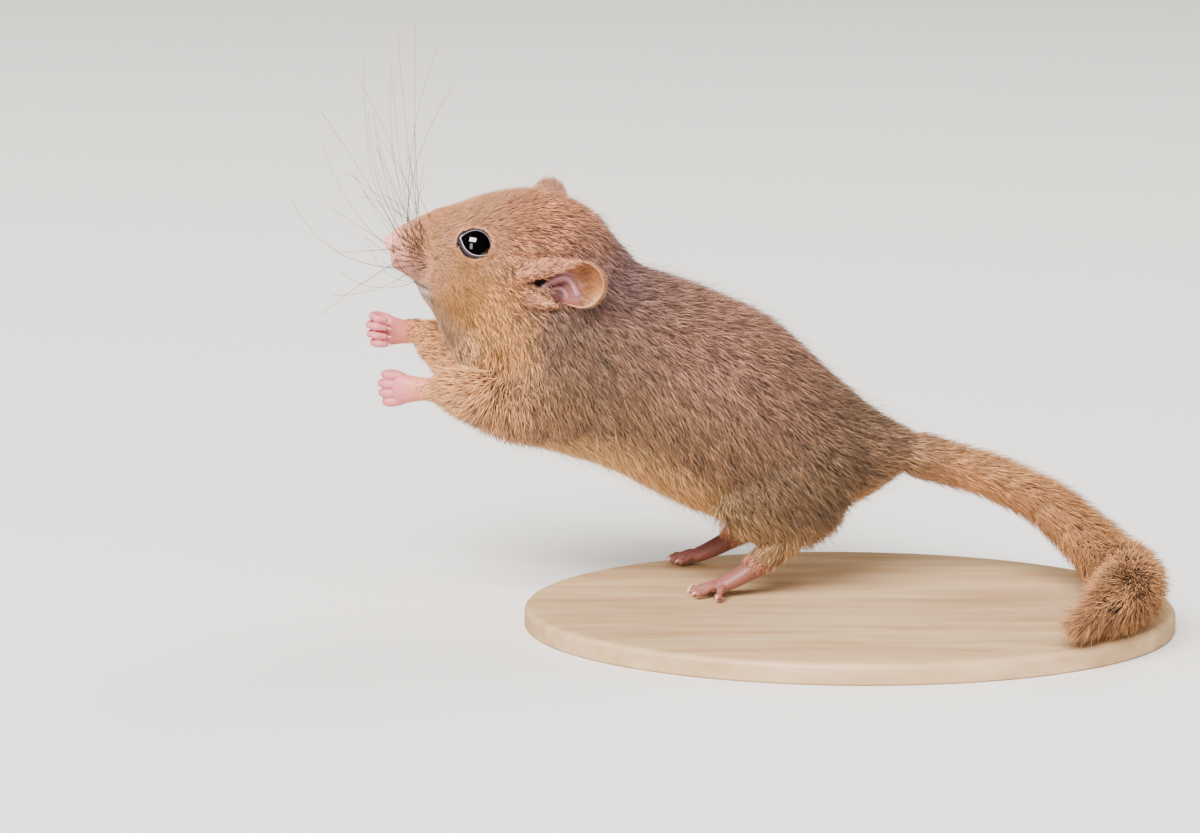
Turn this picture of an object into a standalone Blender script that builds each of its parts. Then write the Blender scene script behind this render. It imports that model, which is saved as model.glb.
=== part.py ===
"""A hazel dormouse, life size, leaning forward on its hind feet, its paws raised and its tail laid on a base.

The animal faces -X, its left side is -Y and +Z is up. Shapes are worked out in millimetres, with the
ground under the feet at height 0, and the last step turns every mesh to metres and sets the origin.
"""
import math

import bmesh
import bpy
import numpy as np
from mathutils import Matrix, Vector

# Driving sizes, in millimetres
GAP = 0.3
METRES_PER_MM = 0.001
COAT_VOXEL = 0.62
TRUNK_TRIANGLES = 2000
FAR = 200.0

BASE_LENGTH, BASE_WIDTH, BASE_THICKNESS, BASE_BEVEL = 92.0, 70.0, 3.0, 0.8
BASE_CENTRE = (15.0, -15.0)

EYE_RADIUS, EYE_SINK = 2.55, 1.15
EYE_STATION, EYE_ANGLE = 4.92, 60.0
LID_LENGTH, LID_HEIGHT, LID_ROUND = 2.75, 2.35, 0.46

PAD_STATION, PAD_ANGLE = 2.35, 92.0
PAD_RADII = (2.7, 1.5, 2.5)
WHISKER_ROOT, WHISKER_TIP = 0.26, 0.09

EAR_TIP, EAR_ROOT, EAR_HALF_HEIGHT, EAR_DEPTH, EAR_THICKNESS = 3.3, 6.6, 3.25, 1.9, 0.62

TAIL_COAT_DEPTH_SHARE = 0.5
TAIL_JOINTS = (0.34, 0.66)

# The body as one tube from nose to tail root. Each station gives its centre x and z, how far its upright
# leans back in degrees, its half height, its half width, how much fuller it is below than above,
# and how far it rolls towards the animal's left in degrees.
BODY = np.array([
    (-50.9, 49.3, 0.0, 0.9, 1.1, 0.00, 11.0),
    (-49.6, 49.2, 5.0, 3.0, 2.7, 0.00, 11.0),
    (-47.4, 48.6, 5.5, 4.7, 4.3, 0.00, 11.0),
    (-44.9, 47.7, 7.0, 6.6, 5.6, 0.04, 11.0),
    (-42.2, 47.0, 12.6, 8.6, 7.2, 0.06, 11.0),
    (-39.2, 46.3, 19.0, 11.2, 8.9, 0.10, 11.0),
    (-35.5, 45.5, 28.5, 13.5, 10.3, 0.10, 11.0),
    (-31.5, 43.2, 41.0, 14.7, 11.2, 0.06, 8.0),
    (-28.1, 38.3, 42.0, 15.4, 11.8, 0.05, 5.0),
    (-24.7, 34.1, 42.0, 16.2, 12.3, 0.05, 2.0),
    (-12.3, 29.8, 31.6, 15.2, 13.0, 0.08, 0.0),
    (-1.8, 24.7, 24.0, 15.2, 13.6, 0.10, 0.0),
    (8.3, 19.2, 22.0, 12.5, 11.8, 0.05, 0.0),
    (17.0, 18.3, 14.0, 7.5, 7.6, 0.00, 0.0),
    (23.4, 19.1, 9.5, 3.2, 3.2, 0.00, 0.0),
])
MUZZLE_CUT, NECK_CUT, CHEST_CUT, TAIL_CUT = 3.6, 6.5, 7.75, 13.95
NOSE_CUT = -49.9
TRUNK_PLACES = {"head": (-37.5, 0.0, 46.5), "neck": (-32.0, 0.0, 42.0), "torso": (-8.0, 0.0, 27.0)}
SMALLEST_PIECE = 1.0

# Limb paths: x, distance from the midline, z, radius across and radius upright
THIGH = np.array([
    (10.5, 6.5, 20.5, 5.6, 8.5),
    (6.5, 8.0, 14.5, 6.0, 9.2),
    (0.0, 9.0, 12.0, 4.6, 6.6),
    (-3.4, 9.2, 11.4, 3.2, 4.6),
])
# The shin is folded against the thigh inside the coat, so the foot comes out from under the thigh, heel raised
FOOT = np.array([
    (4.6, 9.5, 5.4, 1.6, 1.5),
    (2.4, 9.8, 4.1, 1.65, 1.45),
    (-0.6, 10.2, 2.4, 1.85, 1.3),
    (-3.2, 10.4, 1.15, 2.0, 1.05),
])
# The right hind foot stands a little ahead of the left
RIGHT_FOOT_AHEAD = 2.5
TOE_ANGLES = (-22.0, -7.0, 8.0, 24.0, 74.0)
TOE_LENGTHS = (3.6, 4.5, 4.7, 4.3, 3.4)
TOE_RADIUS, CLAW_LENGTH, CLAW_RADIUS = 0.62, 0.9, 0.27

LEFT_ARM = np.array([
    (-24.0, 8.2, 30.0, 5.6, 7.4),
    (-30.5, 9.2, 27.4, 5.0, 6.2),
    (-36.0, 8.8, 28.0, 4.2, 4.8),
    (-41.0, 8.0, 29.2, 3.1, 3.6),
    (-44.3, 7.4, 29.2, 1.8, 2.0),
    (-46.6, 7.1, 29.2, 1.5, 1.75),
])
RIGHT_ARM = np.array([
    (-24.0, 8.2, 30.0, 5.6, 7.4),
    (-31.0, 9.6, 26.9, 5.0, 6.2),
    (-37.4, 10.4, 27.8, 4.2, 5.2),
    (-43.1, 10.4, 32.6, 3.1, 4.1),
    (-47.0, 9.4, 34.6, 2.0, 2.5),
    (-49.3, 8.8, 35.1, 1.5, 1.75),
])
ELBOW_STATION, WRIST_STATION = 2.0, 4.7
FINGER_RISES = (1.85, 0.65, -0.6, -1.75)
# How far each knuckle stands ahead of the palm
KNUCKLE_REACHES = (2.3, 2.8, 2.7, 2.2)
FINGER_RADIUS = 0.66

# The tail: x, y, z of its middle line and the radius of its coat out to the tips of the hair
TAIL = np.array([
    (23.2, 0.0, 19.1, 3.4),
    (29.6, 0.0, 17.3, 3.5),
    (36.6, -0.8, 15.2, 3.7),
    (43.4, -3.0, 12.2, 4.1),
    (48.4, -7.2, 8.6, 4.6),
    (51.6, -13.0, 5.8, 5.0),
    (53.2, -19.8, 5.0, 5.1),
    (52.8, -26.8, 4.9, 5.0),
    (50.2, -33.2, 4.5, 4.5),
    (46.4, -38.2, 3.5, 3.2),
])
TAIL_SIDES, TAIL_RINGS = 10, 24
LOCK_RING_SPACING, LOCKS_ROUND, LOCK_LENGTH = 5.4, 6, 10.5
LOCK_WIDTH, LOCK_THICKNESS = 1.75, 0.7

# Whisker tips on each side, from the middle of the pad: x, distance out, z
LEFT_WHISKERS = (
    (0.6, 3.5, 33.5), (6.2, 8.0, 26.0), (-6.2, 8.5, 29.5), (-12.5, 9.0, 22.5),
    (-16.8, 9.5, 10.5), (-12.6, 11.0, -6.0),
)
RIGHT_WHISKERS = (
    (2.6, 6.5, 28.0), (-3.2, 6.0, 30.0), (-9.6, 8.5, 23.5), (-14.6, 9.5, 13.0), (-13.0, 12.0, -3.0),
)


def rows_at(rows, where):
    """Smooth values of a table at fractional row numbers, by cubic pieces whose slopes are the mean of the
    steps on either side."""
    rows = np.asarray(rows, float)
    where = np.atleast_1d(np.asarray(where, float))
    slopes = np.gradient(rows, axis=0)
    low = np.clip(np.floor(where).astype(int), 0, len(rows) - 2)
    u = (where - low)[:, None]
    return (
        (2 * u**3 - 3 * u**2 + 1) * rows[low]
        + (u**3 - 2 * u**2 + u) * slopes[low]
        + (3 * u**2 - 2 * u**3) * rows[low + 1]
        + (u**3 - u**2) * slopes[low + 1]
    )


def unit(vectors):
    return vectors / np.linalg.norm(vectors, axis=-1, keepdims=True)


# Mesh making

def mesh_object(name, points, faces):
    mesh = bpy.data.meshes.new(name)
    mesh.from_pydata(np.asarray(points, float).tolist(), [], faces)
    obj = bpy.data.objects.new(name, mesh)
    bpy.context.scene.collection.objects.link(obj)
    return outward(obj)


def outward(obj):
    bm = bmesh.new()
    bm.from_mesh(obj.data)
    bmesh.ops.recalc_face_normals(bm, faces=bm.faces)
    bm.to_mesh(obj.data)
    bm.free()
    return obj


def closed_rings(name, rings, start_pole, end_pole):
    """A closed tube through rings of points, shut by a fan at each end."""
    count, sides = rings.shape[:2]
    points = np.vstack([rings.reshape(-1, 3), [start_pole], [end_pole]])
    first, last = count * sides, count * sides + 1
    faces = []
    for i in range(count - 1):
        for j in range(sides):
            k = (j + 1) % sides
            faces.append((i * sides + j, i * sides + k, (i + 1) * sides + k, (i + 1) * sides + j))
    for j in range(sides):
        k = (j + 1) % sides
        faces.append((first, k, j))
        faces.append((last, (count - 1) * sides + j, (count - 1) * sides + k))
    return mesh_object(name, points, faces)


def tube(name, path, sides=12, rings=12, across=(0, 1, 0), caps=(65.0, 35.0)):
    """A round-ended tube along x, y, z, with a radius across and a radius upright at each point of the path."""
    path = np.asarray(path, float)
    where = np.linspace(0, len(path) - 1, rings)
    rows = rows_at(path, where)
    centre, wide, high = rows[:, :3], rows[:, 3], rows[:, 4]
    along = unit(np.gradient(centre, axis=0))
    side = np.asarray(across, float) - along * (along @ np.asarray(across, float))[:, None]
    side = unit(side)
    up = np.cross(side, along)
    caps = np.radians(caps)
    start = [(0, -math.sin(a), math.cos(a)) for a in caps]
    end = [(rings - 1, math.sin(a), math.cos(a)) for a in caps[::-1]]
    rows_of_rings = start + [(i, 0.0, 1.0) for i in range(rings)] + end
    turn = np.linspace(0, 2 * math.pi, sides, endpoint=False)
    made = []
    for i, shift, share in rows_of_rings:
        middle = centre[i] + along[i] * shift * min(wide[i], high[i])
        made.append(
            middle
            + np.outer(np.cos(turn) * high[i] * share, up[i])
            + np.outer(np.sin(turn) * wide[i] * share, side[i])
        )
    first = centre[0] - along[0] * min(wide[0], high[0])
    last = centre[-1] + along[-1] * min(wide[-1], high[-1])
    return closed_rings(name, np.array(made), first, last)


def ellipsoid(name, centre, radii, axes=np.eye(3), sides=16, rings=8):
    """A closed ball stretched to three radii along three given directions."""
    tilt = np.linspace(0, math.pi, rings + 2)[1:-1]
    turn = np.linspace(0, 2 * math.pi, sides, endpoint=False)
    local = np.stack([
        np.outer(np.sin(tilt), np.cos(turn)) * radii[0],
        np.outer(np.cos(tilt), np.ones(sides)) * radii[1],
        np.outer(np.sin(tilt), np.sin(turn)) * radii[2],
    ], axis=-1)
    ring_points = np.asarray(centre) + local @ np.asarray(axes)
    pole = np.asarray(axes)[1] * radii[1]
    return closed_rings(name, ring_points, np.asarray(centre) + pole, np.asarray(centre) - pole)


def disc(name, point, direction, radius, thickness, sides=24):
    """A flat round cutter whose middle is at a point, square to a direction."""
    turn = Vector(direction).to_track_quat("Z", "Y").to_matrix().to_4x4()
    bm = bmesh.new()
    bmesh.ops.create_cone(
        bm, cap_ends=True, cap_tris=False, segments=sides, radius1=radius, radius2=radius,
        depth=thickness, matrix=Matrix.Translation(Vector(point)) @ turn,
    )
    mesh = bpy.data.meshes.new(name)
    bm.to_mesh(mesh)
    bm.free()
    obj = bpy.data.objects.new(name, mesh)
    bpy.context.scene.collection.objects.link(obj)
    return outward(obj)


def block(name, low, high):
    bm = bmesh.new()
    middle = [(a + b) / 2 for a, b in zip(low, high)]
    sizes = [b - a for a, b in zip(low, high)]
    bmesh.ops.create_cube(bm, size=1.0, matrix=Matrix.Translation(middle) @ Matrix.Diagonal((*sizes, 1.0)))
    mesh = bpy.data.meshes.new(name)
    bm.to_mesh(mesh)
    bm.free()
    obj = bpy.data.objects.new(name, mesh)
    bpy.context.scene.collection.objects.link(obj)
    return outward(obj)


# Joining and cutting

def applied(obj):
    """The object with its modifiers made part of its mesh."""
    graph = bpy.context.evaluated_depsgraph_get()
    mesh = bpy.data.meshes.new_from_object(obj.evaluated_get(graph))
    obj.modifiers.clear()
    obj.data = mesh
    return obj


def combined(obj, others, operation, solver="EXACT"):
    """One Boolean of an object with a collection of closed pieces, which are removed after it."""
    group = bpy.data.collections.new(obj.name + "_pieces")
    bpy.context.scene.collection.children.link(group)
    for other in others:
        for home in list(other.users_collection):
            home.objects.unlink(other)
        group.objects.link(other)
    modifier = obj.modifiers.new("join", "BOOLEAN")
    modifier.operand_type = "COLLECTION"
    modifier.collection = group
    modifier.operation = operation
    modifier.solver = solver
    applied(obj)
    for other in list(group.objects):
        bpy.data.objects.remove(other)
    bpy.data.collections.remove(group)
    return obj


def cut(obj, *cutters):
    for cutter in cutters:
        combined(obj, [cutter], "DIFFERENCE")
    return obj


def fused(obj, *pieces):
    return combined(obj, list(pieces), "UNION")


def kept_inside(obj, region):
    return combined(obj, [region], "INTERSECT")


def copy_of(obj, name):
    twin = obj.copy()
    twin.data = obj.data.copy()
    twin.name = name
    bpy.context.scene.collection.objects.link(twin)
    return twin


def swollen(obj, name, amount):
    """A copy whose points stand out along their normals by an amount."""
    twin = copy_of(obj, name)
    bm = bmesh.new()
    bm.from_mesh(twin.data)
    bm.normal_update()
    for vertex in bm.verts:
        vertex.co += vertex.normal * amount
    bm.to_mesh(twin.data)
    bm.free()
    return twin


def cleared(obj, others):
    """Cuts an object back to a gap from others that it lies against."""
    for other in others:
        cut(obj, swollen(other, "room", GAP))
    return whole(obj)


def bodies_of(bm):
    """The faces of each closed surface of a mesh, with its volume, largest first."""
    left = set(bm.faces)
    found = []
    while left:
        reached = [left.pop()]
        body = list(reached)
        while reached:
            face = reached.pop()
            for edge in face.edges:
                for other in edge.link_faces:
                    if other in left:
                        left.remove(other)
                        reached.append(other)
                        body.append(other)
        volume = sum(
            face.calc_area() * face.normal.dot(face.calc_center_median()) / 3 for face in body
        )
        found.append((volume, body))
    return sorted(found, key=lambda item: -item[0])


def parted(obj, places=None):
    """Splits an object into closed surfaces and keeps, for each named place, the one centred nearest to it
    among those of a fair size. Without places it keeps the largest."""
    bm = bmesh.new()
    bm.from_mesh(obj.data)
    bm.normal_update()
    bodies = bodies_of(bm)
    fair = [i for i, (volume, _) in enumerate(bodies) if volume > max(SMALLEST_PIECE, bodies[0][0] * 1e-4)]
    centres = [
        np.mean([tuple(face.calc_center_median()) for face in bodies[i][1]], axis=0) for i in fair
    ]
    bm.free()
    picked = {obj.name: 0}
    if places:
        picked = {
            name: fair[int(np.argmin([np.linalg.norm(c - np.array(place)) for c in centres]))]
            for name, place in places.items()
        }
    made = []
    for name, wanted in picked.items():
        twin = copy_of(obj, name)
        bm = bmesh.new()
        bm.from_mesh(twin.data)
        bm.normal_update()
        dropped = [face for j, (_, body) in enumerate(bodies_of(bm)) if j != wanted for face in body]
        bmesh.ops.delete(bm, geom=dropped, context="FACES")
        bmesh.ops.triangulate(bm, faces=bm.faces)
        bm.to_mesh(twin.data)
        bm.free()
        made.append(twin)
    bpy.data.objects.remove(obj)
    return made


def whole(obj):
    """Keeps only the largest closed surface of an object."""
    name = obj.name
    kept = parted(obj)[0]
    kept.name = name
    return kept


# The shape of the body

def body_point(station, angle):
    """A point of the coat's surface, at a station along the body and an angle in degrees from the crown
    towards the animal's left, and the middle of that station."""
    rows = rows_at(BODY, station)
    lean, roll = np.radians(rows[:, 2]), np.radians(rows[:, 6])
    turn = np.radians(np.atleast_1d(np.asarray(angle, float)))
    zero = np.zeros_like(lean)
    upright = np.stack([np.sin(lean), zero, np.cos(lean)], axis=1)
    across = np.stack([zero, zero - 1.0, zero], axis=1)
    up = upright * np.cos(roll)[:, None] + across * np.sin(roll)[:, None]
    left = across * np.cos(roll)[:, None] - upright * np.sin(roll)[:, None]
    centre = np.stack([rows[:, 0], zero, rows[:, 1]], axis=1)
    fuller = 1.0 - rows[:, 5] * np.cos(turn)
    point = (
        centre
        + up * (rows[:, 3] * np.cos(turn))[:, None]
        + left * (rows[:, 4] * np.sin(turn) * fuller)[:, None]
    )
    return point, centre


def body_frame(station, angle):
    """The surface point, and the directions backwards, outwards and round at that point."""
    step = 0.02
    point = body_point(station, angle)[0][0]
    back = unit(body_point(station + step, angle)[0][0] - body_point(station - step, angle)[0][0])
    around = unit(body_point(station, angle + 1)[0][0] - body_point(station, angle - 1)[0][0])
    out = unit(np.cross(around, back))
    if out @ (point - body_point(station, angle)[1][0]) < 0:
        out = -out
    return point, back, out, unit(np.cross(out, back))


def body_tube(name, first, last, rings, sides, grow=0.0):
    """The body's tube between two stations."""
    stations = np.linspace(first, last, rings)
    angles = np.linspace(0, 360, sides, endpoint=False)
    made, middles = [], []
    for station in stations:
        points, centres = body_point(np.full(sides, station), angles)
        made.append(points + unit(points - centres) * grow)
        middles.append(centres[0])
    lead = unit(middles[0] - middles[1])
    start = middles[0] + lead * (0.35 if first == 0 else 0.0)
    return closed_rings(name, np.array(made), start, middles[-1])


def station_cut(name, station, thickness, radius):
    """A disc through the body at a station, square to that station's upright."""
    rows = rows_at(BODY, station)[0]
    lean = math.radians(rows[2])
    return disc(name, (rows[0], 0, rows[1]), (math.cos(lean), 0, -math.sin(lean)), radius, thickness)


def sided(path, side):
    """A limb path set on the left (-1) or the right (+1)."""
    path = np.array(path, float)
    path[:, 1] *= side
    return path


def shoulder_region(name, side, grow=0.0):
    """The round patch of the chest that the upper arm fills."""
    centre = (-28.6, side * 15.2, 28.0)
    return ellipsoid(name, centre, (8.6 + grow, 10.0 + grow, 7.6 + grow), sides=16, rings=7)


def haunch_region(name, side, grow=0.0):
    """The round patch of the flank that the thigh fills."""
    centre = (4.2, side * 17.0, 15.0)
    return ellipsoid(name, centre, (13.4 + grow, 12.0 + grow, 12.8 + grow), sides=16, rings=7)


def eye_ball(name, side, grow=0.0):
    point, back, out, up = body_frame(EYE_STATION, -side * EYE_ANGLE)
    radius = EYE_RADIUS + grow
    return ellipsoid(name, point - out * EYE_SINK, (radius, radius, radius), (back, out, up), 16, 8)


def eye_lid(name, side):
    """A ring of lid round the eye, longer than it is high."""
    point, back, out, up = body_frame(EYE_STATION, -side * EYE_ANGLE)
    turn = np.linspace(0, 2 * math.pi, 18, endpoint=False)
    small = np.linspace(0, 2 * math.pi, 6, endpoint=False)
    points, faces = [], []
    for a in turn:
        outward_way = back * math.cos(a) * LID_LENGTH + up * math.sin(a) * LID_HEIGHT
        radial = unit(outward_way)
        for b in small:
            points.append(
                point + outward_way - out * 0.1
                + (radial * math.cos(b) + out * math.sin(b)) * LID_ROUND
            )
    for i in range(len(turn)):
        for j in range(len(small)):
            i2, j2 = (i + 1) % len(turn), (j + 1) % len(small)
            n = len(small)
            faces.append((i * n + j, i2 * n + j, i2 * n + j2, i * n + j2))
    return mesh_object(name, points, faces)


# The trunk and what is parted from it

def make_trunk():
    """Body, thighs and upper arms blended into one skin, as they are under the coat."""
    trunk = body_tube("trunk", 0.0, len(BODY) - 1.0, 90, 48)
    for side in (-1, 1):
        arm = LEFT_ARM if side < 0 else RIGHT_ARM
        pieces = [
            tube("limb", sided(THIGH, side), 20, 16),
            tube("limb", sided(arm[:3], side), 20, 12),
        ]
        for piece in pieces:
            bm = bmesh.new()
            bm.from_mesh(trunk.data)
            bm.from_mesh(piece.data)
            bm.to_mesh(trunk.data)
            bm.free()
            bpy.data.objects.remove(piece)
    remesh = trunk.modifiers.new("blend", "REMESH")
    remesh.mode = "VOXEL"
    remesh.voxel_size = COAT_VOXEL
    smooth = trunk.modifiers.new("soften", "SMOOTH")
    smooth.factor = 0.5
    smooth.iterations = 6
    applied(trunk)
    thin = trunk.modifiers.new("thin", "DECIMATE")
    thin.ratio = TRUNK_TRIANGLES / (2 * len(trunk.data.polygons))
    return applied(trunk)


def make_body_nodes(trunk):
    """Head, neck, torso and the upper limbs, each cut from the trunk with a thin gap."""
    made = {}
    for side, word in ((-1, "left"), (1, "right")):
        arm = sided(LEFT_ARM if side < 0 else RIGHT_ARM, side)
        here, ahead = rows_at(arm, (ELBOW_STATION, ELBOW_STATION + 0.1))[:, :3]
        way = unit(ahead - here)
        stub = disc("stub", here + way * 6.0, way, 7.6, 12.0)
        cut(trunk, stub)
        thigh = kept_inside(copy_of(trunk, "thigh_" + word), haunch_region("region", side))
        upper_arm = kept_inside(copy_of(trunk, "upper_arm_" + word), shoulder_region("region", side))
        made["thigh_" + word] = whole(thigh)
        made["upper_arm_" + word] = whole(upper_arm)
    cutters = [
        region(f"cutter_{side}", side, GAP)
        for side in (-1, 1) for region in (haunch_region, shoulder_region)
    ]
    cut(trunk, *cutters)
    for station, radius in ((MUZZLE_CUT, 12.0), (NECK_CUT, 17.2), (CHEST_CUT, 22.0), (TAIL_CUT, 8.0)):
        cut(trunk, station_cut("slab", station, GAP, radius))
    places = {name: TRUNK_PLACES[name] for name in ("head", "neck", "torso")}
    made.update(zip(places, parted(trunk, places)))
    return made


def finish_head(head):
    """Lids round the eyes, then a socket for each eyeball."""
    for side in (-1, 1):
        fused(head, eye_lid("lid", side))
        cut(head, eye_ball("socket", side, GAP))
    return whole(head)


# The muzzle, nose and jaw

def make_muzzle():
    """The snout ahead of the cheeks, the nose pad, the whisker pads and the lower jaw."""
    made = {}
    snout = body_tube("muzzle", 0.0, MUZZLE_CUT - 0.06, 13, 22)
    nose = copy_of(snout, "nose")
    cut(nose, disc("behind", (NOSE_CUT + 8, 0, 49), (1, 0, 0), 14, 16))
    lip_front, lip_corner = np.array((-51.5, 45.7)), np.array((-43.6, 42.6))
    along = unit(lip_corner - lip_front)
    down = (-along[1], 0.0, along[0]) if along[0] < 0 else (along[1], 0.0, -along[0])
    middle = (lip_front + lip_corner) / 2
    for name, shift in (("jaw_space", 15.0 + GAP / 2), ("lip_space", -15.0 - GAP / 2)):
        made[name] = (
            disc(name, (middle[0] + down[0] * shift, 0, middle[1] + down[2] * shift), down, 14.0, 30.0)
        )
    jaw = kept_inside(copy_of(snout, "lower_jaw"), made.pop("jaw_space"))
    jaw_front = block("ahead", (-60, -9, 30), (-48.3, 9, 46))
    made["lower_jaw"] = whole(cut(jaw, jaw_front))
    kept_inside(snout, made.pop("lip_space"))

    cut(snout, disc("behind", (NOSE_CUT - 5 + GAP, 0, 49), (1, 0, 0), 8, 10))
    holes = [disc("cleft", (-52.6, 0.03, 46.6), (0, 1, 0), 2.3, 0.34)]
    for side in (-1, 1):
        point, back, out, up = body_frame(0.7, side * 76.0)
        holes.append(ellipsoid("nostril", point, (0.72, 0.61, 0.44), (back, out, up), 9, 5))
    made["nose"] = whole(combined(nose, holes, "DIFFERENCE"))

    for side, word in ((-1, "left"), (1, "right")):
        made["whisker_pad_" + word] = make_whisker_pad(side, "whisker_pad_" + word)
        cut(snout, pad_shape("pad_space", side, GAP))
    made["muzzle"] = whole(snout)
    made["muzzle"].name = "muzzle"
    return made


def pad_shape(name, side, grow=0.0):
    point, back, out, up = body_frame(PAD_STATION, -side * PAD_ANGLE)
    radii = [radius + grow for radius in PAD_RADII]
    return ellipsoid(name, point - out * 0.7, radii, (back, out, up), 12, 6)


def make_whisker_pad(side, name):
    """The fleshy pad of the upper lip, with its longest whiskers as thin tapered horns rooted in it."""
    point, back, out, up = body_frame(PAD_STATION, -side * PAD_ANGLE)
    pad = pad_shape(name, side)
    tips = LEFT_WHISKERS if side < 0 else RIGHT_WHISKERS
    whiskers = []
    for i, (ahead, away, rise) in enumerate(tips):
        row, column = divmod(i, 2)
        root = point - out * 0.1 + back * (0.75 - 1.5 * column) + up * (0.9 - 0.9 * row)
        tip = point + np.array((ahead, side * away, rise))
        bow = out * 4.0 + unit(tip - root) * 2.0
        where = np.linspace(0, 1, 7)[:, None]
        line = root + (tip - root) * where + bow * (where * (1 - where) * 1.3)
        radius = WHISKER_ROOT + (WHISKER_TIP - WHISKER_ROOT) * where
        path = np.hstack([line, radius, radius])
        whiskers.append(tube("whisker", path, 4, 6, across=(1, 0, 0.01), caps=(45.0,)))
    for whisker in whiskers:
        fused(pad, whisker)
    return whole(pad)


# The ears

def ear_bowl(name, centre, tip_way, facing, tip_reach, root_reach):
    """A cupped leaf: a polar grid whose outline is blunt at the tip and long at the root, with the back face
    a thickness behind the front one."""
    tip_way, facing = np.asarray(tip_way, float), np.asarray(facing, float)
    along = unit(tip_way)
    normal = unit(facing - along * (facing @ along))
    across = np.cross(normal, along)
    turn = np.linspace(0, 2 * math.pi, 16, endpoint=False)
    shares = np.array((0.3, 0.58, 0.82, 1.0))
    reach = np.where(np.cos(turn) > 0, tip_reach, root_reach)
    narrow = 1.0 - 0.36 * np.clip(-np.cos(turn), 0, 1) ** 1.2
    points = []
    for back_face in (0.0, EAR_THICKNESS):
        for share in shares:
            x = reach * np.cos(turn) * share
            y = EAR_HALF_HEIGHT * np.sin(turn) * narrow * share
            depth = -EAR_DEPTH * (1 - share**2) - back_face
            edge = 1.0 - 0.1 * (back_face > 0) * (share == 1.0)
            ring = (
                np.asarray(centre)
                + np.outer(x * edge, along) + np.outer(y * edge, across) + normal * depth
            )
            points.extend(ring)
    points.append(np.asarray(centre) - normal * EAR_DEPTH)
    points.append(np.asarray(centre) - normal * (EAR_DEPTH + EAR_THICKNESS))
    n, rings = len(turn), len(shares)
    faces = []
    for j in range(n):
        k = (j + 1) % n
        faces.append((2 * n * rings, j, k))
        faces.append((2 * n * rings + 1, rings * n + k, rings * n + j))
        for i in range(rings - 1):
            a, b, c, d = i * n + j, i * n + k, (i + 1) * n + k, (i + 1) * n + j
            faces.extend([(a, d, c), (a, c, b)])
            a, b, c, d = (value + rings * n for value in (a, b, c, d))
            faces.extend([(a, c, d), (a, b, c)])
        a, b = (rings - 1) * n + j, (rings - 1) * n + k
        c, d = b + rings * n, a + rings * n
        faces.extend([(a, d, c), (a, c, b)])
    return mesh_object(name, points, faces)


def make_ear(name, centre, tip_way, facing, folds, under):
    """The cup of the ear with the two furry folds that hold it to the head."""
    ear = ear_bowl(name, centre, tip_way, facing, EAR_TIP, EAR_ROOT)
    for fold in folds:
        fused(ear, tube("fold", fold, 8, 5, across=(0, 1, 0.1), caps=(45.0,)))
    return cleared(ear, under)


LEFT_EAR = {
    "centre": (-22.9, -12.9, 44.7),
    "tip_way": (0.95, -0.30, 0.04),
    "facing": (-0.30, -0.93, 0.05),
    "folds": (
        ((-30.4, -10.7, 46.1, 1.3, 1.3), (-27.4, -11.9, 47.0, 1.4, 1.3), (-24.5, -12.9, 47.5, 0.7, 0.7)),
        ((-30.2, -11.0, 42.9, 1.2, 1.1), (-27.3, -11.8, 42.1, 1.1, 1.0), (-24.6, -12.9, 41.6, 0.5, 0.5)),
    ),
}
RIGHT_EAR = {
    "centre": (-28.0, 11.9, 53.9),
    "tip_way": (0.06, 0.14, 0.98),
    "facing": (-0.62, 0.75, 0.0),
    "folds": (
        ((-27.2, 9.0, 47.6, 1.3, 1.3), (-26.3, 10.8, 50.1, 1.3, 1.2), (-26.0, 11.9, 52.6, 0.6, 0.6)),
        ((-31.6, 9.0, 47.8, 1.2, 1.1), (-30.9, 11.0, 50.2, 1.1, 1.0), (-30.4, 12.1, 52.4, 0.5, 0.5)),
    ),
}


# Legs, feet and paws

def floor_cutter():
    return block("ground", (-FAR, -FAR, -FAR), (FAR, FAR, 0.0))


def make_foot(side, word, above):
    """The foot from the heel, which the thigh's coat covers, to five toes with claws, flat where they stand."""
    foot_path = sided(FOOT, side)
    if side > 0:
        foot_path[:, 0] -= RIGHT_FOOT_AHEAD
    foot = tube("foot_" + word, foot_path, 12, 8)
    ball = foot_path[-1, :3]
    pieces = []
    for angle, length in zip(TOE_ANGLES, TOE_LENGTHS):
        a = math.radians(angle)
        way = np.array((-math.cos(a), side * math.sin(a), 0.0))
        sideways = np.array((0.35 - abs(math.sin(a)) * 0.4, side * math.sin(a) * 1.4, 0.0))
        root = ball + sideways + np.array((0.6, 0.0, 0.0))
        toe = [
            (*(root + way * 0.0)[:2], 1.05, TOE_RADIUS, TOE_RADIUS),
            (*(root + way * length * 0.45)[:2], 1.25, TOE_RADIUS * 0.86, TOE_RADIUS * 0.9),
            (*(root + way * length * 0.8)[:2], 0.72, TOE_RADIUS * 0.82, TOE_RADIUS * 0.86),
            (*(root + way * length)[:2], 0.58, TOE_RADIUS * 0.9, TOE_RADIUS * 0.9),
        ]
        across = (way[1], -way[0], 0.0)
        pieces.append(tube("toe", toe, 6, 4, across=across, caps=(45.0,)))
        tip = root + way * (length + 0.35)
        claw = [
            (*tip[:2], 0.72, CLAW_RADIUS, CLAW_RADIUS),
            (*(tip + way * CLAW_LENGTH * 0.6)[:2], 0.66, CLAW_RADIUS * 0.7, CLAW_RADIUS * 0.7),
            (*(tip + way * CLAW_LENGTH)[:2], 0.34, 0.1, 0.1),
        ]
        pieces.append(tube("claw", claw, 4, 3, across=across, caps=()))
    fused(foot, *pieces)
    cut(foot, floor_cutter())
    return cleared(foot, above)


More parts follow.
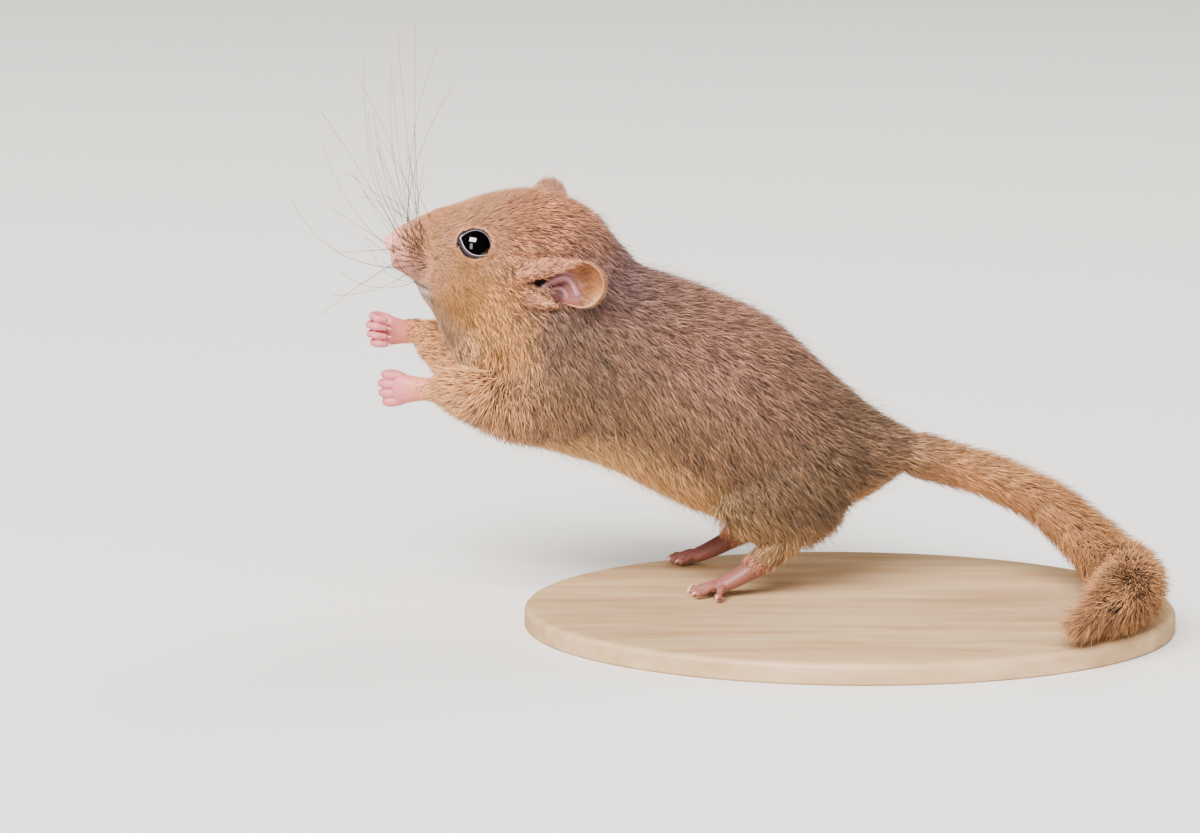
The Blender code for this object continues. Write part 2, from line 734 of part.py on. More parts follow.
def make_paw(side, word, trunk):
    """Forearm and hand, the four fingers folded inwards at the knuckles as in a loose fist."""
    made = {}
    arm = sided(LEFT_ARM if side < 0 else RIGHT_ARM, side)
    rows = rows_at(arm, np.linspace(ELBOW_STATION - 0.35, len(arm) - 1, 9))
    forearm = tube("forearm_" + word, rows, 12, 8)
    here, ahead = rows_at(arm, (ELBOW_STATION, ELBOW_STATION + 0.1))[:, :3]
    way = unit(ahead - here)
    cut(forearm, disc("root", here + way * (GAP - 6.0), way, 12.0, 12.0))
    wrist, beyond = rows_at(arm, (WRIST_STATION, WRIST_STATION + 0.1))[:, :3]
    wrist_way = unit(beyond - wrist)
    cut(forearm, disc("end", wrist + wrist_way * 5.0, wrist_way, 6.0, 10.0))
    made["forearm_" + word] = cleared(forearm, trunk)

    palm_path = [
        (*(wrist - wrist_way * 1.0), 1.35, 1.6),
        (*(wrist + wrist_way * 1.2), 1.45, 1.9),
        (*(wrist + wrist_way * 2.8), 1.5, 2.4),
    ]
    hand = tube("hand_" + word, palm_path, 10, 4)
    inward = np.array((0.0, -side, 0.0))
    upward = np.array((0.0, 0.0, 1.0))
    front = wrist + wrist_way * 2.9
    pieces = []
    for rise, reach in zip(FINGER_RISES, KNUCKLE_REACHES):
        root = front + upward * rise
        spread = upward * rise * 0.08
        stops = (
            root - inward * 0.3,
            root + wrist_way * reach * 0.72 + spread - inward * 0.5,
            root + wrist_way * reach + spread + inward * 0.7,
            root + wrist_way * reach * 0.6 + spread * 0.5 + inward * 2.0,
            root + wrist_way * reach * 0.1 + inward * 2.3,
        )
        radii = FINGER_RADIUS * np.array((1.0, 1.0, 0.95, 0.85, 0.8))
        path = [(*stop, radius, radius) for stop, radius in zip(stops, radii)]
        pieces.append(tube("finger", path, 6, 6, across=(0.01, 0, 1), caps=(45.0,)))
        tip = stops[-1] - wrist_way * 0.3
        claw = [
            (*tip, CLAW_RADIUS, CLAW_RADIUS),
            (*(tip - wrist_way * CLAW_LENGTH * 0.5 + inward * 0.05), CLAW_RADIUS * 0.7, CLAW_RADIUS * 0.7),
            (*(tip - wrist_way * CLAW_LENGTH + inward * 0.2), 0.1, 0.1),
        ]
        pieces.append(tube("claw", claw, 4, 3, across=(0.01, 0, 1), caps=()))
    fused(hand, *pieces)
    cut(hand, disc("root", wrist + wrist_way * (GAP - 5.0), wrist_way, 6.0, 10.0))
    made["hand_" + word] = whole(hand)
    return made


# The tail and its locks of hair

def tail_frame(share):
    """Middle, backward way, side way, up way and coat radius at a share of the tail's length."""
    where = np.atleast_1d(np.asarray(share, float)) * (len(TAIL) - 1)
    rows = rows_at(TAIL, where)
    ahead = rows_at(TAIL, np.minimum(where + 0.05, len(TAIL) - 1))[:, :3]
    behind = rows_at(TAIL, np.maximum(where - 0.05, 0))[:, :3]
    along = unit(ahead - behind)
    side = unit(np.cross(along, (0.0, 0.0, 1.0)))
    return rows[:, :3], along, side, np.cross(side, along), rows[:, 3]


def make_lock(share, turn, length_share, reach, rng):
    """A flat lock: a blade that leaves the core, bends back along the tail and tapers to a point."""
    steps = np.array((0.0, 0.36, 0.78))
    widths = np.array((0.85, 1.0, 0.6)) * LOCK_WIDTH * reach
    heights = np.array((0.32, 0.8, 1.0)) * rng.uniform(0.93, 1.03)
    sway = rng.uniform(-0.12, 0.12)
    rings = []
    for step, width, height in zip(steps, widths, heights):
        middle, along, side, up, radius = (v[0] for v in tail_frame(min(share + length_share * step, 1.0)))
        past = max(share + length_share * step - 1.0, 0.0) * LOCK_LENGTH / length_share
        a = turn + sway * step
        out = side * math.cos(a) + up * math.sin(a)
        flat = side * -math.sin(a) + up * math.cos(a)
        centre = middle + along * past + out * radius * height * (1 - 0.5 * min(past / LOCK_LENGTH, 1.0))
        thick = LOCK_THICKNESS * (1.0 if step < 0.8 else 0.8)
        rings.append([centre - flat * width, centre + out * thick, centre + flat * width])
    last = np.mean(rings[-1], axis=0)
    tip = last + (last - np.mean(rings[-2], axis=0)) * 0.55
    return closed_rings("lock", np.array(rings), np.mean(rings[0], axis=0), tip)


def make_tail():
    """A core with overlapping locks, parted into three lengths by thin cuts."""
    rng = np.random.default_rng(7)
    shares = np.linspace(0.0, 1.0, TAIL_RINGS)
    middle, _, side, up, coat = tail_frame(shares)
    length = np.linalg.norm(np.diff(middle, axis=0), axis=1).sum()
    root_share = np.clip(1.0 - shares / 0.12, 0, 1)[:, None]
    core = coat[:, None] * (TAIL_COAT_DEPTH_SHARE + (0.86 - TAIL_COAT_DEPTH_SHARE) * root_share)
    core *= np.clip((1.0 - shares) / 0.05, 0.35, 1.0)[:, None]
    turn = np.linspace(0, 2 * math.pi, TAIL_SIDES, endpoint=False)
    rings = (
        middle[:, None]
        + side[:, None] * (core * np.cos(turn))[..., None]
        + up[:, None] * (core * np.sin(turn))[..., None]
    )
    tail = closed_rings("tail", rings, middle[0], middle[-1] + (middle[-1] - middle[-2]) * 0.5)
    locks = []
    rows = int(length / LOCK_RING_SPACING)
    length_share = LOCK_LENGTH / length
    for row in range(rows):
        share = (row + 0.35) / rows
        for i in range(LOCKS_ROUND):
            angle = 2 * math.pi * (i + 0.5 * (row % 2)) / LOCKS_ROUND + rng.uniform(-0.08, 0.08)
            reach = 0.82 + 0.3 * share
            locks.append(make_lock(share, angle, length_share, reach, rng))
    print("tail", round(length, 1), "mm with", len(locks), "locks")
    combined(tail, locks, "UNION")
    cut(tail, floor_cutter())
    first, way = (v[0] for v in tail_frame(0.0)[:2])
    cut(tail, disc("root", first + way * (GAP - 6.0), way, 9.0, 12.0))
    for joint in TAIL_JOINTS:
        point, way = (v[0] for v in tail_frame(joint)[:2])
        cut(tail, disc("slab", point, way, 9.5, GAP))
    ends = (0.0, *TAIL_JOINTS, 1.0)
    middles = [tail_frame((a + b) / 2)[0][0] for a, b in zip(ends[:-1], ends[1:])]
    places = dict(zip(("tail_root", "tail_middle", "tail_tip"), middles))
    return dict(zip(places, parted(tail, places)))


# The base

def make_base():
    """An oval plate with a bevelled rim, its top a gap below the soles."""
    turn = np.linspace(0, 2 * math.pi, 56, endpoint=False)
    levels = (
        (0.0, -BASE_THICKNESS), (0.0, -BASE_BEVEL), (BASE_BEVEL, 0.0),
    )
    rings = []
    for inset, height in levels:
        rings.append(np.stack([
            BASE_CENTRE[0] + (BASE_LENGTH / 2 - inset) * np.cos(turn),
            BASE_CENTRE[1] + (BASE_WIDTH / 2 - inset) * np.sin(turn),
            np.full(turn.shape, height - GAP),
        ], axis=1))
    low = (*BASE_CENTRE, -BASE_THICKNESS - GAP)
    high = (*BASE_CENTRE, -GAP)
    return {"stand_base": closed_rings("stand_base", np.array(rings), low, high)}


# Colours and finish

FINISHES = {
    "coat_gold": ((0.42, 0.22, 0.085), 0.85),
    "coat_grey": ((0.27, 0.17, 0.10), 0.85),
    "coat_pale": ((0.55, 0.38, 0.22), 0.85),
    "bare_skin": ((0.62, 0.29, 0.25), 0.55),
    "ear_skin": ((0.42, 0.20, 0.12), 0.6),
    "eye_black": ((0.004, 0.004, 0.005), 0.05),
    "base_wood": ((0.30, 0.19, 0.11), 0.5),
}
FINISH_OF = {
    "head": "coat_gold", "muzzle": "coat_gold", "lower_jaw": "coat_pale", "neck": "coat_grey",
    "torso": "coat_grey", "thigh": "coat_gold", "upper_arm": "coat_gold", "forearm": "coat_gold",
    "tail": "coat_gold", "nose": "bare_skin", "whisker_pad": "bare_skin",
    "hand": "bare_skin", "foot": "bare_skin", "ear": "ear_skin", "eye": "eye_black",
    "stand_base": "base_wood",
}


def material_of(node):
    word = next(key for key in sorted(FINISH_OF, key=len, reverse=True) if node.startswith(key))
    colour, roughness = FINISHES[FINISH_OF[word]]
    material = bpy.data.materials.new(node)
    material.use_nodes = True
    shader = material.node_tree.nodes["Principled BSDF"]
    shader.inputs["Base Color"].default_value = (*colour, 1.0)
    shader.inputs["Roughness"].default_value = roughness
    shader.inputs["Metallic"].default_value = 0.0
    return material


def place_origin(nodes):
    """Turns millimetres to metres and sets the origin at the middle of the bounding box's underside."""
    points = np.array([tuple(v.co) for obj in nodes.values() for v in obj.data.vertices])
    low, high = points.min(axis=0), points.max(axis=0)
    shift = Matrix.Translation((-(low[0] + high[0]) / 2, -(low[1] + high[1]) / 2, -low[2]))
    for obj in nodes.values():
        obj.data.transform(Matrix.Scale(METRES_PER_MM, 4) @ shift)
    print("size in mm", np.round(high - low, 1), "low corner", np.round(low, 1))


def main():
    for obj in list(bpy.data.objects):
        bpy.data.objects.remove(obj)
    nodes = make_body_nodes(make_trunk())
    nodes.update(make_muzzle())
    under = [nodes[name] for name in ("head", "neck", "torso")]
    nodes["ear_left"] = make_ear("ear_left", under=under, **LEFT_EAR)
    nodes["ear_right"] = make_ear("ear_right", under=under, **RIGHT_EAR)
    nodes["head"] = finish_head(nodes["head"])
    for side, word in ((-1, "left"), (1, "right")):
        nodes["eye_" + word] = eye_ball("eye_" + word, side)
        nodes["foot_" + word] = make_foot(side, word, [nodes["thigh_" + word], nodes["torso"]])
        nodes.update(make_paw(side, word, [nodes[name] for name in ("head", "neck", "torso")]))
    nodes.update(make_tail())
    nodes.update(make_base())
    place_origin(nodes)
    for name, obj in nodes.items():
        obj.name = name
        obj.data.materials.clear()
        obj.data.materials.append(material_of(name))
        obj.data.shade_smooth()
        obj.data.set_sharp_from_angle(angle=math.radians(45))
        print(name, len(obj.data.loop_triangles) or sum(len(p.vertices) - 2 for p in obj.data.polygons))


main()
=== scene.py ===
# %% [markdown]
# # A hazel dormouse, leaning forward with its paws raised
#
# A small golden rodent, 80 mm long without its tail. What the eye reads first is its coat: thousands of
# fine hairs, grey at the root and golden at the tip, that all lie backwards. So the model is made as the
# animal is: one skin, then hair rooted in it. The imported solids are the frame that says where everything
# is.

# %% Load the frame
import math

import bpy
import numpy as np
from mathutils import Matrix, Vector


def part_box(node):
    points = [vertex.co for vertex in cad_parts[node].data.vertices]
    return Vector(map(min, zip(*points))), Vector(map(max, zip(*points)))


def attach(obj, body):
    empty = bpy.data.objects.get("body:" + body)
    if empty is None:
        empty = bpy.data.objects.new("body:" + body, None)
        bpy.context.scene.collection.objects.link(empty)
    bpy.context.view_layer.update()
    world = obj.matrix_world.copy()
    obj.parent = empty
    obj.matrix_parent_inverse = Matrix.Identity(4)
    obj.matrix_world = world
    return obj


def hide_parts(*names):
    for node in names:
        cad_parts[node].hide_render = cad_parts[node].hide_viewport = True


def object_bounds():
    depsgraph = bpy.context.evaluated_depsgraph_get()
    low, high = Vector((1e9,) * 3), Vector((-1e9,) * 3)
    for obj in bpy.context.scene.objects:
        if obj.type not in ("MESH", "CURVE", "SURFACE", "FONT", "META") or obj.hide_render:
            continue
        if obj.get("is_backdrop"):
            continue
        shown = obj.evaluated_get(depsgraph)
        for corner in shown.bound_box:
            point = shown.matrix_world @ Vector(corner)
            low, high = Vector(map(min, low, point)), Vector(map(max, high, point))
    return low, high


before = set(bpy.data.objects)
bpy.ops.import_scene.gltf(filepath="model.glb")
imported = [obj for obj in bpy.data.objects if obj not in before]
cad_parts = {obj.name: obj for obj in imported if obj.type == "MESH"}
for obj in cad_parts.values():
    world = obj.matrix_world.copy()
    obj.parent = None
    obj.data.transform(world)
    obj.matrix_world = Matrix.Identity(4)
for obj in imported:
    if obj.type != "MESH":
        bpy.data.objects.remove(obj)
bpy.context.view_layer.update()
print("frame:", len(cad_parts), "nodes")

# %% [markdown]
# Lengths below are in millimetres, with the ground under the feet at height 0, because an animal this small
# is measured in millimetres. The frame has its own origin, so one offset is worked out from the left eye:
# where the frame has it, less where this script has it.

# %% Small tools for points and curves
MM = 0.001
# What stands for far away: nothing below asks how much further than this a place is
FAR_AWAY = 9.0


def rows_at(rows, where):
    """Smooth values between the rows of a table: on each span a cubic that starts and ends with the mean
    slope of the spans on either side."""
    rows = np.asarray(rows, float)
    where = np.atleast_1d(np.asarray(where, float))
    slopes = np.gradient(rows, axis=0)
    low = np.clip(np.floor(where).astype(int), 0, len(rows) - 2)
    u = (where - low)[:, None]
    return (
        (2 * u**3 - 3 * u**2 + 1) * rows[low]
        + (u**3 - 2 * u**2 + u) * slopes[low]
        + (3 * u**2 - 2 * u**3) * rows[low + 1]
        + (u**3 - u**2) * slopes[low + 1]
    )


def unit(vectors):
    """Each vector divided by its length."""
    length = np.linalg.norm(vectors, axis=-1, keepdims=True)
    return vectors / np.maximum(length, 1e-9)


def ease(low, high, x):
    """A step from 0 to 1 between low and high, with level ends: 3 u squared less 2 u cubed."""
    u = np.clip((np.asarray(x, float) - low) / (high - low), 0, 1)
    return u * u * (3 - 2 * u)


def blend(a, b, share):
    """a where the share is 0 and b where it is 1."""
    share = np.asarray(share)[..., None]
    return a * (1 - share) + b * share


def laid_on(ways, normals):
    """Each way laid flat on a surface: the way less the normal times their product, made one long."""
    return unit(ways - normals * np.einsum("ij,ij->i", ways, normals)[:, None])


# %% [markdown]
# ## The form of the body
#
# The trunk and head are one tube. Each station along it is an ellipse with a centre, a lean, two radii, a
# measure of how much fuller it is below than above, and a roll that turns the head a little to the viewer.
# Any point is then a function of two numbers: the station and the angle round from the crown.

# %% The body's stations
BODY = np.array([
    (-50.8, 49.2, 0.0, 0.9, 1.1, 0.00, 11.0),
    (-49.6, 48.9, 5.0, 2.7, 2.6, 0.00, 11.0),
    (-47.4, 48.35, 5.5, 4.45, 4.25, 0.00, 11.0),
    (-44.9, 47.7, 7.0, 6.6, 5.6, 0.04, 11.0),
    (-42.2, 47.0, 12.6, 8.6, 7.2, 0.06, 11.0),
    (-39.2, 46.3, 19.0, 11.2, 8.9, 0.10, 11.0),
    (-35.5, 45.5, 28.5, 13.5, 10.3, 0.10, 11.0),
    (-31.5, 43.2, 41.0, 14.7, 11.2, 0.06, 8.0),
    (-28.1, 38.3, 42.0, 15.4, 11.8, 0.05, 5.0),
    (-24.7, 34.1, 42.0, 16.2, 12.3, 0.05, 2.0),
    (-12.3, 29.8, 31.6, 15.2, 13.0, 0.08, 0.0),
    (-1.8, 24.7, 24.0, 15.2, 13.6, 0.10, 0.0),
    (8.3, 19.2, 22.0, 12.5, 11.8, 0.05, 0.0),
    (17.0, 18.3, 14.0, 7.5, 7.6, 0.00, 0.0),
    (23.4, 19.1, 9.5, 3.2, 3.2, 0.00, 0.0),
])
LAST_STATION = len(BODY) - 1.0

# How deep the coat is and how long its hairs are at each of those stations
COAT_DEPTH = np.array([
    0.08, 0.12, 0.2, 0.3, 0.42, 0.55, 0.75, 0.9, 1.1, 1.35, 1.6, 1.7, 1.65, 1.35, 1.0,
])[:, None]
HAIR_LENGTH = np.array([
    0.35, 0.45, 0.7, 1.0, 1.35, 1.7, 2.1, 2.6, 2.9, 3.2, 3.5, 3.6, 3.5, 3.2, 3.0,
])[:, None]


def body_at(station, turn, sunk=0.0):
    """A point of the body: centre + up times the half height times cos(turn) + left times the half width
    times sin(turn), the last shortened above and lengthened below by the fullness. sunk is how far under
    the coat."""
    rows = rows_at(BODY, station)
    lean = np.radians(rows[:, 2])
    roll = np.radians(rows[:, 6])
    zero = np.zeros_like(lean)
    upright = np.stack([np.sin(lean), zero, np.cos(lean)], axis=1)
    across = np.stack([zero, zero - 1.0, zero], axis=1)
    up = upright * np.cos(roll)[:, None] + across * np.sin(roll)[:, None]
    left = across * np.cos(roll)[:, None] - upright * np.sin(roll)[:, None]
    centre = np.stack([rows[:, 0], zero, rows[:, 1]], axis=1)
    high = np.maximum(rows[:, 3] - sunk, 0.3)
    wide = np.maximum(rows[:, 4] - sunk, 0.3)
    fuller = 1.0 - rows[:, 5] * np.cos(turn)
    point = centre + up * (high * np.cos(turn))[:, None]
    return point + left * (wide * np.sin(turn) * fuller)[:, None], centre


def body_frame(station, degrees, sunk=0.0):
    """One point of the body with the ways backwards, outwards and round at it."""
    near = np.array([station, station + 0.02, station - 0.02, station, station])
    turn = np.radians(np.array([degrees, degrees, degrees, degrees + 1, degrees - 1], float))
    point, centre = body_at(near, turn, sunk)
    back = unit(point[1] - point[2])
    out = unit(np.cross(point[3] - point[4], back))
    if out @ (point[0] - centre[0]) < 0:
        out = -out
    return point[0], back, out, unit(np.cross(out, back))


# The eye's station, its degrees from the crown, its radius, and how far its middle lies under the outline
EYE_STATION, EYE_DEGREES, EYE_RADIUS, EYE_SINK = 4.92, 60.0, 2.55, 1.15


def eye_frame(side):
    """The eye's centre and its ways backwards, outwards and upwards, for the left (-1) or right (+1)
    side."""
    point, back, out, up = body_frame(EYE_STATION, -side * EYE_DEGREES)
    up = up if up[2] > 0 else -up
    return point - out * EYE_SINK, back, out, up


low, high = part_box("eye_left")
OFFSET = (np.array(low) + np.array(high)) / 2 / MM - eye_frame(-1)[0]
print("offset from this script's origin to the frame's:", np.round(OFFSET, 3), "mm")

# %% [markdown]
# The limbs are tubes too. Each row gives a place on the limb's middle line, as x, distance from the midline
# and z, then the radius across and the radius upright. The left and the right leg share a table, but the
# paws are held differently, so each arm has its own.

# %% The limbs' tables
THIGH = np.array([
    (10.5, 6.5, 20.5, 5.6, 8.5),
    (6.5, 8.0, 14.5, 6.0, 9.2),
    (1.0, 9.0, 12.6, 4.6, 6.3),
    (-1.8, 9.2, 12.4, 3.4, 4.2),
])
# The shin is folded against the thigh, and its coat runs down over the heel
SHIN = np.array([
    (9.6, 8.6, 13.0, 3.6, 4.6),
    (7.0, 9.0, 9.2, 2.8, 3.2),
    (4.4, 9.4, 6.2, 2.15, 2.2),
    (1.6, 9.85, 3.95, 1.72, 1.6),
])
FOOT = np.array([
    (6.2, 9.3, 7.6, 1.6, 1.5),
    (4.6, 9.5, 5.4, 1.6, 1.5),
    (2.4, 9.8, 4.1, 1.65, 1.45),
    (-0.6, 10.2, 2.4, 1.85, 1.3),
    (-3.2, 10.4, 1.15, 2.0, 1.05),
])
RIGHT_FOOT_AHEAD = 2.5
ARMS = {
    -1: np.array([
        (-24.0, 8.2, 30.0, 5.6, 7.4),
        (-30.5, 9.2, 27.4, 5.0, 6.2),
        (-36.0, 8.8, 28.0, 4.2, 4.8),
        (-41.0, 8.0, 29.2, 3.1, 3.6),
        (-44.3, 7.4, 29.2, 1.8, 2.0),
        (-46.6, 7.1, 29.2, 1.5, 1.75),
    ]),
    1: np.array([
        (-24.0, 8.2, 30.0, 5.6, 7.4),
        (-31.0, 9.6, 26.9, 5.0, 6.2),
        (-37.4, 10.4, 27.8, 4.2, 5.2),
        (-43.1, 10.4, 32.6, 3.1, 4.1),
        (-47.0, 9.4, 34.6, 2.0, 2.5),
        (-49.3, 8.8, 35.1, 1.5, 1.75),
    ]),
}
# How far each limb's skin lies under its coat, at the body and at the paw
THIGH_SUNK, SHIN_SUNK, ARM_SUNK = (2.3, 2.1), (2.0, 0.1), (2.2, 0.15)
WORD = {-1: "left", 1: "right"}


def sided(table, side):
    """A limb's table with its second column set on the left (-1) or the right (+1)."""
    table = np.array(table, float)
    table[:, 1] *= side
    return table


def shin(side):
    """The shin's table on one side. The right foot stands further ahead, and its shin is drawn after it."""
    table = sided(SHIN, side)
    table[:, 0] -= RIGHT_FOOT_AHEAD * (side > 0) * np.linspace(0, 1, len(table))
    return table


# %% [markdown]
# A tube is a ring of points carried along a path. Its end is closed by rings that shrink as a ball's do, so
# a fingertip is round. Each function that makes a surface returns two arrays: points, and triangles that
# index them.

# %% Tubes
def facing_out(points, faces):
    """The triangles of a closed skin, turned round if its volume comes out negative: the sum over them of
    one corner times the cross product of the other two."""
    corners = points[faces]
    volume = np.einsum("ij,ij->i", corners[:, 0], np.cross(corners[:, 1], corners[:, 2])).sum()
    return faces[:, ::-1] if volume < 0 else faces


def closed_tube(rings, first, last):
    """Joins rings of points into a closed skin of triangles: two for each cell between neighbouring rings,
    and a fan to one point at each end."""
    count, sides = rings.shape[:2]
    index = np.arange(count * sides).reshape(count, sides)
    after = np.roll(index, -1, axis=1)
    a, b, c, d = index[:-1], after[:-1], after[1:], index[1:]
    start = np.full(sides, count * sides)
    faces = [
        np.stack([a, b, c], -1).reshape(-1, 3),
        np.stack([a, c, d], -1).reshape(-1, 3),
        np.stack([start, after[0], index[0]], -1),
        np.stack([start + 1, index[-1], after[-1]], -1),
    ]
    points = np.concatenate([rings.reshape(-1, 3), [first], [last]])
    return points, facing_out(points, np.concatenate(faces))


def rings_round(middle, up, side, tall, wide, turn):
    """Rings of points round a line: middle + up times tall times cos(turn) + side times wide times
    sin(turn)."""
    return (
        middle[:, None]
        + up[:, None] * (np.cos(turn)[None] * tall[:, None])[..., None]
        + side[:, None] * (np.sin(turn)[None] * wide[:, None])[..., None]
    )


def limb_frames(table, count, across=(0, 1, 0)):
    """Middle line, radii and the along, side and up ways at evenly spaced places on a limb's table."""
    rows = rows_at(table, np.linspace(0, len(table) - 1, count))
    along = unit(np.gradient(rows[:, :3], axis=0))
    across = np.asarray(across, float)
    side = unit(across - along * (along @ across)[:, None])
    return rows[:, :3], rows[:, 3], rows[:, 4], along, side, np.cross(side, along)


def limb_tube(table, sides=24, count=24, across=(0, 1, 0), sunk=(0.0, 0.0)):
    """A tube of rings along a limb's table with round ends, whose rings shrink as the cosine of the angle
    from the last whole one. It can be sunk under the coat, from one depth to another."""
    middle, wide, tall, along, side, up = limb_frames(table, count, across)
    depth = np.linspace(*sunk, count)
    wide, tall = np.maximum(wide - depth, 0.03), np.maximum(tall - depth, 0.03)
    caps = np.radians([70.0, 48.0, 24.0])
    which = np.concatenate([[0] * 3, np.arange(count), [count - 1] * 3])
    reach = np.concatenate([-np.sin(caps), np.zeros(count), np.sin(caps[::-1])])
    share = np.concatenate([np.cos(caps), np.ones(count), np.cos(caps[::-1])])
    end = np.minimum(wide, tall)[which]
    turn = np.linspace(0, 2 * math.pi, sides, endpoint=False)
    centres = middle[which] + along[which] * (reach * end)[:, None]
    rings = rings_round(centres, up[which], side[which], tall[which] * share, wide[which] * share, turn)
    first = middle[0] - along[0] * min(wide[0], tall[0])
    last = middle[-1] + along[-1] * min(wide[-1], tall[-1])
    return closed_tube(rings, first, last)


def ball(centre, radii, axes=np.eye(3), sides=40, rings=24):
    """A ball stretched to three radii along three ways: centre + the sum of each way times its radius times
    the matching part of a unit sphere."""
    tilt = np.linspace(0, math.pi, rings + 2)[1:-1]
    turn = np.linspace(0, 2 * math.pi, sides, endpoint=False)
    local = np.stack([
        np.outer(np.sin(tilt), np.cos(turn)) * radii[0],
        np.outer(np.cos(tilt), np.ones(sides)) * radii[1],
        np.outer(np.sin(tilt), np.sin(turn)) * radii[2],
    ], axis=-1)
    axes = np.asarray(axes, float)
    pole = axes[1] * radii[1]
    return closed_tube(np.asarray(centre) + local @ axes, centre + pole, centre - pole)


def joined(parts):
    """Several (points, triangles) pairs as one pair."""
    starts = np.cumsum([0] + [len(points) for points, _ in parts])
    return (
        np.concatenate([points for points, _ in parts]),
        np.concatenate([faces + start for (_, faces), start in zip(parts, starts)]),
    )


def mesh_object(name, points, faces):
    """Puts millimetre points and faces of one size into a new mesh object at the origin, in metres."""
    mesh = bpy.data.meshes.new(name)
    count, corners = faces.shape
    mesh.vertices.add(len(points))
    mesh.vertices.foreach_set("co", ((points + OFFSET) * MM).astype(np.float32).ravel())
    mesh.loops.add(count * corners)
    mesh.loops.foreach_set("vertex_index", faces.astype(np.int32).ravel())
    mesh.polygons.add(count)
    mesh.polygons.foreach_set("loop_start", np.arange(0, count * corners, corners, dtype=np.int32))
    mesh.update(calc_edges=True)
    obj = bpy.data.objects.new(name, mesh)
    bpy.context.scene.collection.objects.link(obj)
    return obj


def mesh_arrays(obj):
    """An object's points in millimetres, its triangles, and its point normals."""
    mesh = obj.data
    mesh.calc_loop_triangles()
    points = np.empty(len(mesh.vertices) * 3, np.float32)
    mesh.vertices.foreach_get("co", points)
    normals = np.empty(len(mesh.vertices) * 3, np.float32)
    mesh.vertices.foreach_get("normal", normals)
    faces = np.empty(len(mesh.loop_triangles) * 3, np.int32)
    mesh.loop_triangles.foreach_get("vertices", faces)
    points = points.reshape(-1, 3).astype(float) / MM - OFFSET
    return points, faces.reshape(-1, 3), normals.reshape(-1, 3).astype(float)


def blended(obj, voxel, rounds):
    """Melts an object's overlapping shells into one skin on a grid of cubes of a given size in millimetres,
    then evens it out a number of times."""
    melt = obj.modifiers.new("melt", "REMESH")
    melt.mode = "VOXEL"
    melt.voxel_size = voxel * MM
    even = obj.modifiers.new("even", "SMOOTH")
    even.factor = 0.5
    even.iterations = rounds
    graph = bpy.context.evaluated_depsgraph_get()
    mesh = bpy.data.meshes.new_from_object(obj.evaluated_get(graph))
    obj.modifiers.clear()
    obj.data = mesh
    mesh.shade_smooth()
    return obj


# %% [markdown]
# ## The skin
#
# Under the fur lies one skin. The body's tube, the thighs, shins and arms, the pads of the upper lip, the
# cheeks, the brows and the folds that hold the ears are laid over each other, a coat's depth under the
# outline of the fur. Melting them on a fine grid gives a single surface with soft joins, as skin has.

# %% Ear folds, lip pads, cheeks and brows
EARS = {
    -1: {
        "centre": np.array((-22.9, -12.9, 45.0)),
        "tip_way": (0.95, -0.30, 0.04),
        "facing": (-0.30, -0.93, 0.05),
        "folds": (
            (
                (-31.4, -10.2, 46.4, 1.7, 1.9),
                (-27.6, -11.4, 47.2, 1.7, 1.8),
                (-23.4, -12.8, 48.2, 0.95, 0.95),
            ),
            (
                (-31.0, -10.5, 42.9, 1.3, 1.4),
                (-28.0, -11.1, 42.1, 1.15, 1.15),
                (-25.4, -12.0, 41.7, 0.5, 0.5),
            ),
        ),
    },
    1: {
        "centre": np.array((-28.0, 11.9, 53.9)),
        "tip_way": (0.06, 0.14, 0.98),
        "facing": (-0.62, 0.75, 0.0),
        "folds": (
            ((-27.2, 9.0, 47.6, 1.3, 1.3), (-26.3, 10.8, 50.1, 1.3, 1.2), (-26.0, 11.9, 52.6, 0.6, 0.6)),
            ((-31.6, 9.0, 47.8, 1.2, 1.1), (-30.9, 11.0, 50.2, 1.1, 1.0), (-30.4, 12.1, 52.4, 0.5, 0.5)),
        ),
    },
}
PAD_STATION, PAD_DEGREES = 2.35, 92.0
# Lobe and pad of the upper lip, and cheek: station, degrees from the crown, depth under the coat's outline,
# how far in the middle lies, and the radii backwards, outwards and upwards
FACE_FORMS = (
    (1.15, 138.0, 0.2, 0.75, (1.5, 1.35, 1.35)),
    (PAD_STATION - 0.25, PAD_DEGREES + 6, 0.3, 1.15, (2.9, 1.9, 2.4)),
    (4.6, 104.0, 0.6, 3.3, (4.6, 3.75, 4.2)),
)
# The edge of the cubes on which the skin is melted, in millimetres
SKIN_GRID = 0.335


def head_forms(side):
    """The lobe and the pad of the upper lip, the cheek, the brow round the eye and the ear's folds on one
    side."""
    forms = []
    for station, degrees, depth, inside, radii in FACE_FORMS:
        point, back, out, up = body_frame(station, -side * degrees, depth)
        forms.append(ball(point - out * inside, radii, (back, out, up)))
    centre, back, out, up = eye_frame(side)
    forms.append(ball(centre - out * 0.95, (3.75, 2.95, 3.5), (back, out, up)))
    for fold in EARS[side]["folds"]:
        forms.append(limb_tube(np.array(fold), 16, 12, (0, 1, 0.1), (0.5, 0.6)))
    return forms


# How far an ear reaches from its centre to its tip and to its root, half its height, how deep its cup is,
# and its thickness
EAR_TIP, EAR_ROOT, EAR_HALF_HEIGHT, EAR_DEPTH, EAR_THICKNESS = 3.3, 6.6, 3.25, 1.9, 0.34
# How much the cup narrows to its root, how far off its middle plane it still counts, and where its canal is
EAR_NARROWING, EAR_REACH = 0.36, 3.2
EAR_CANAL = (-6.4, 0.1)


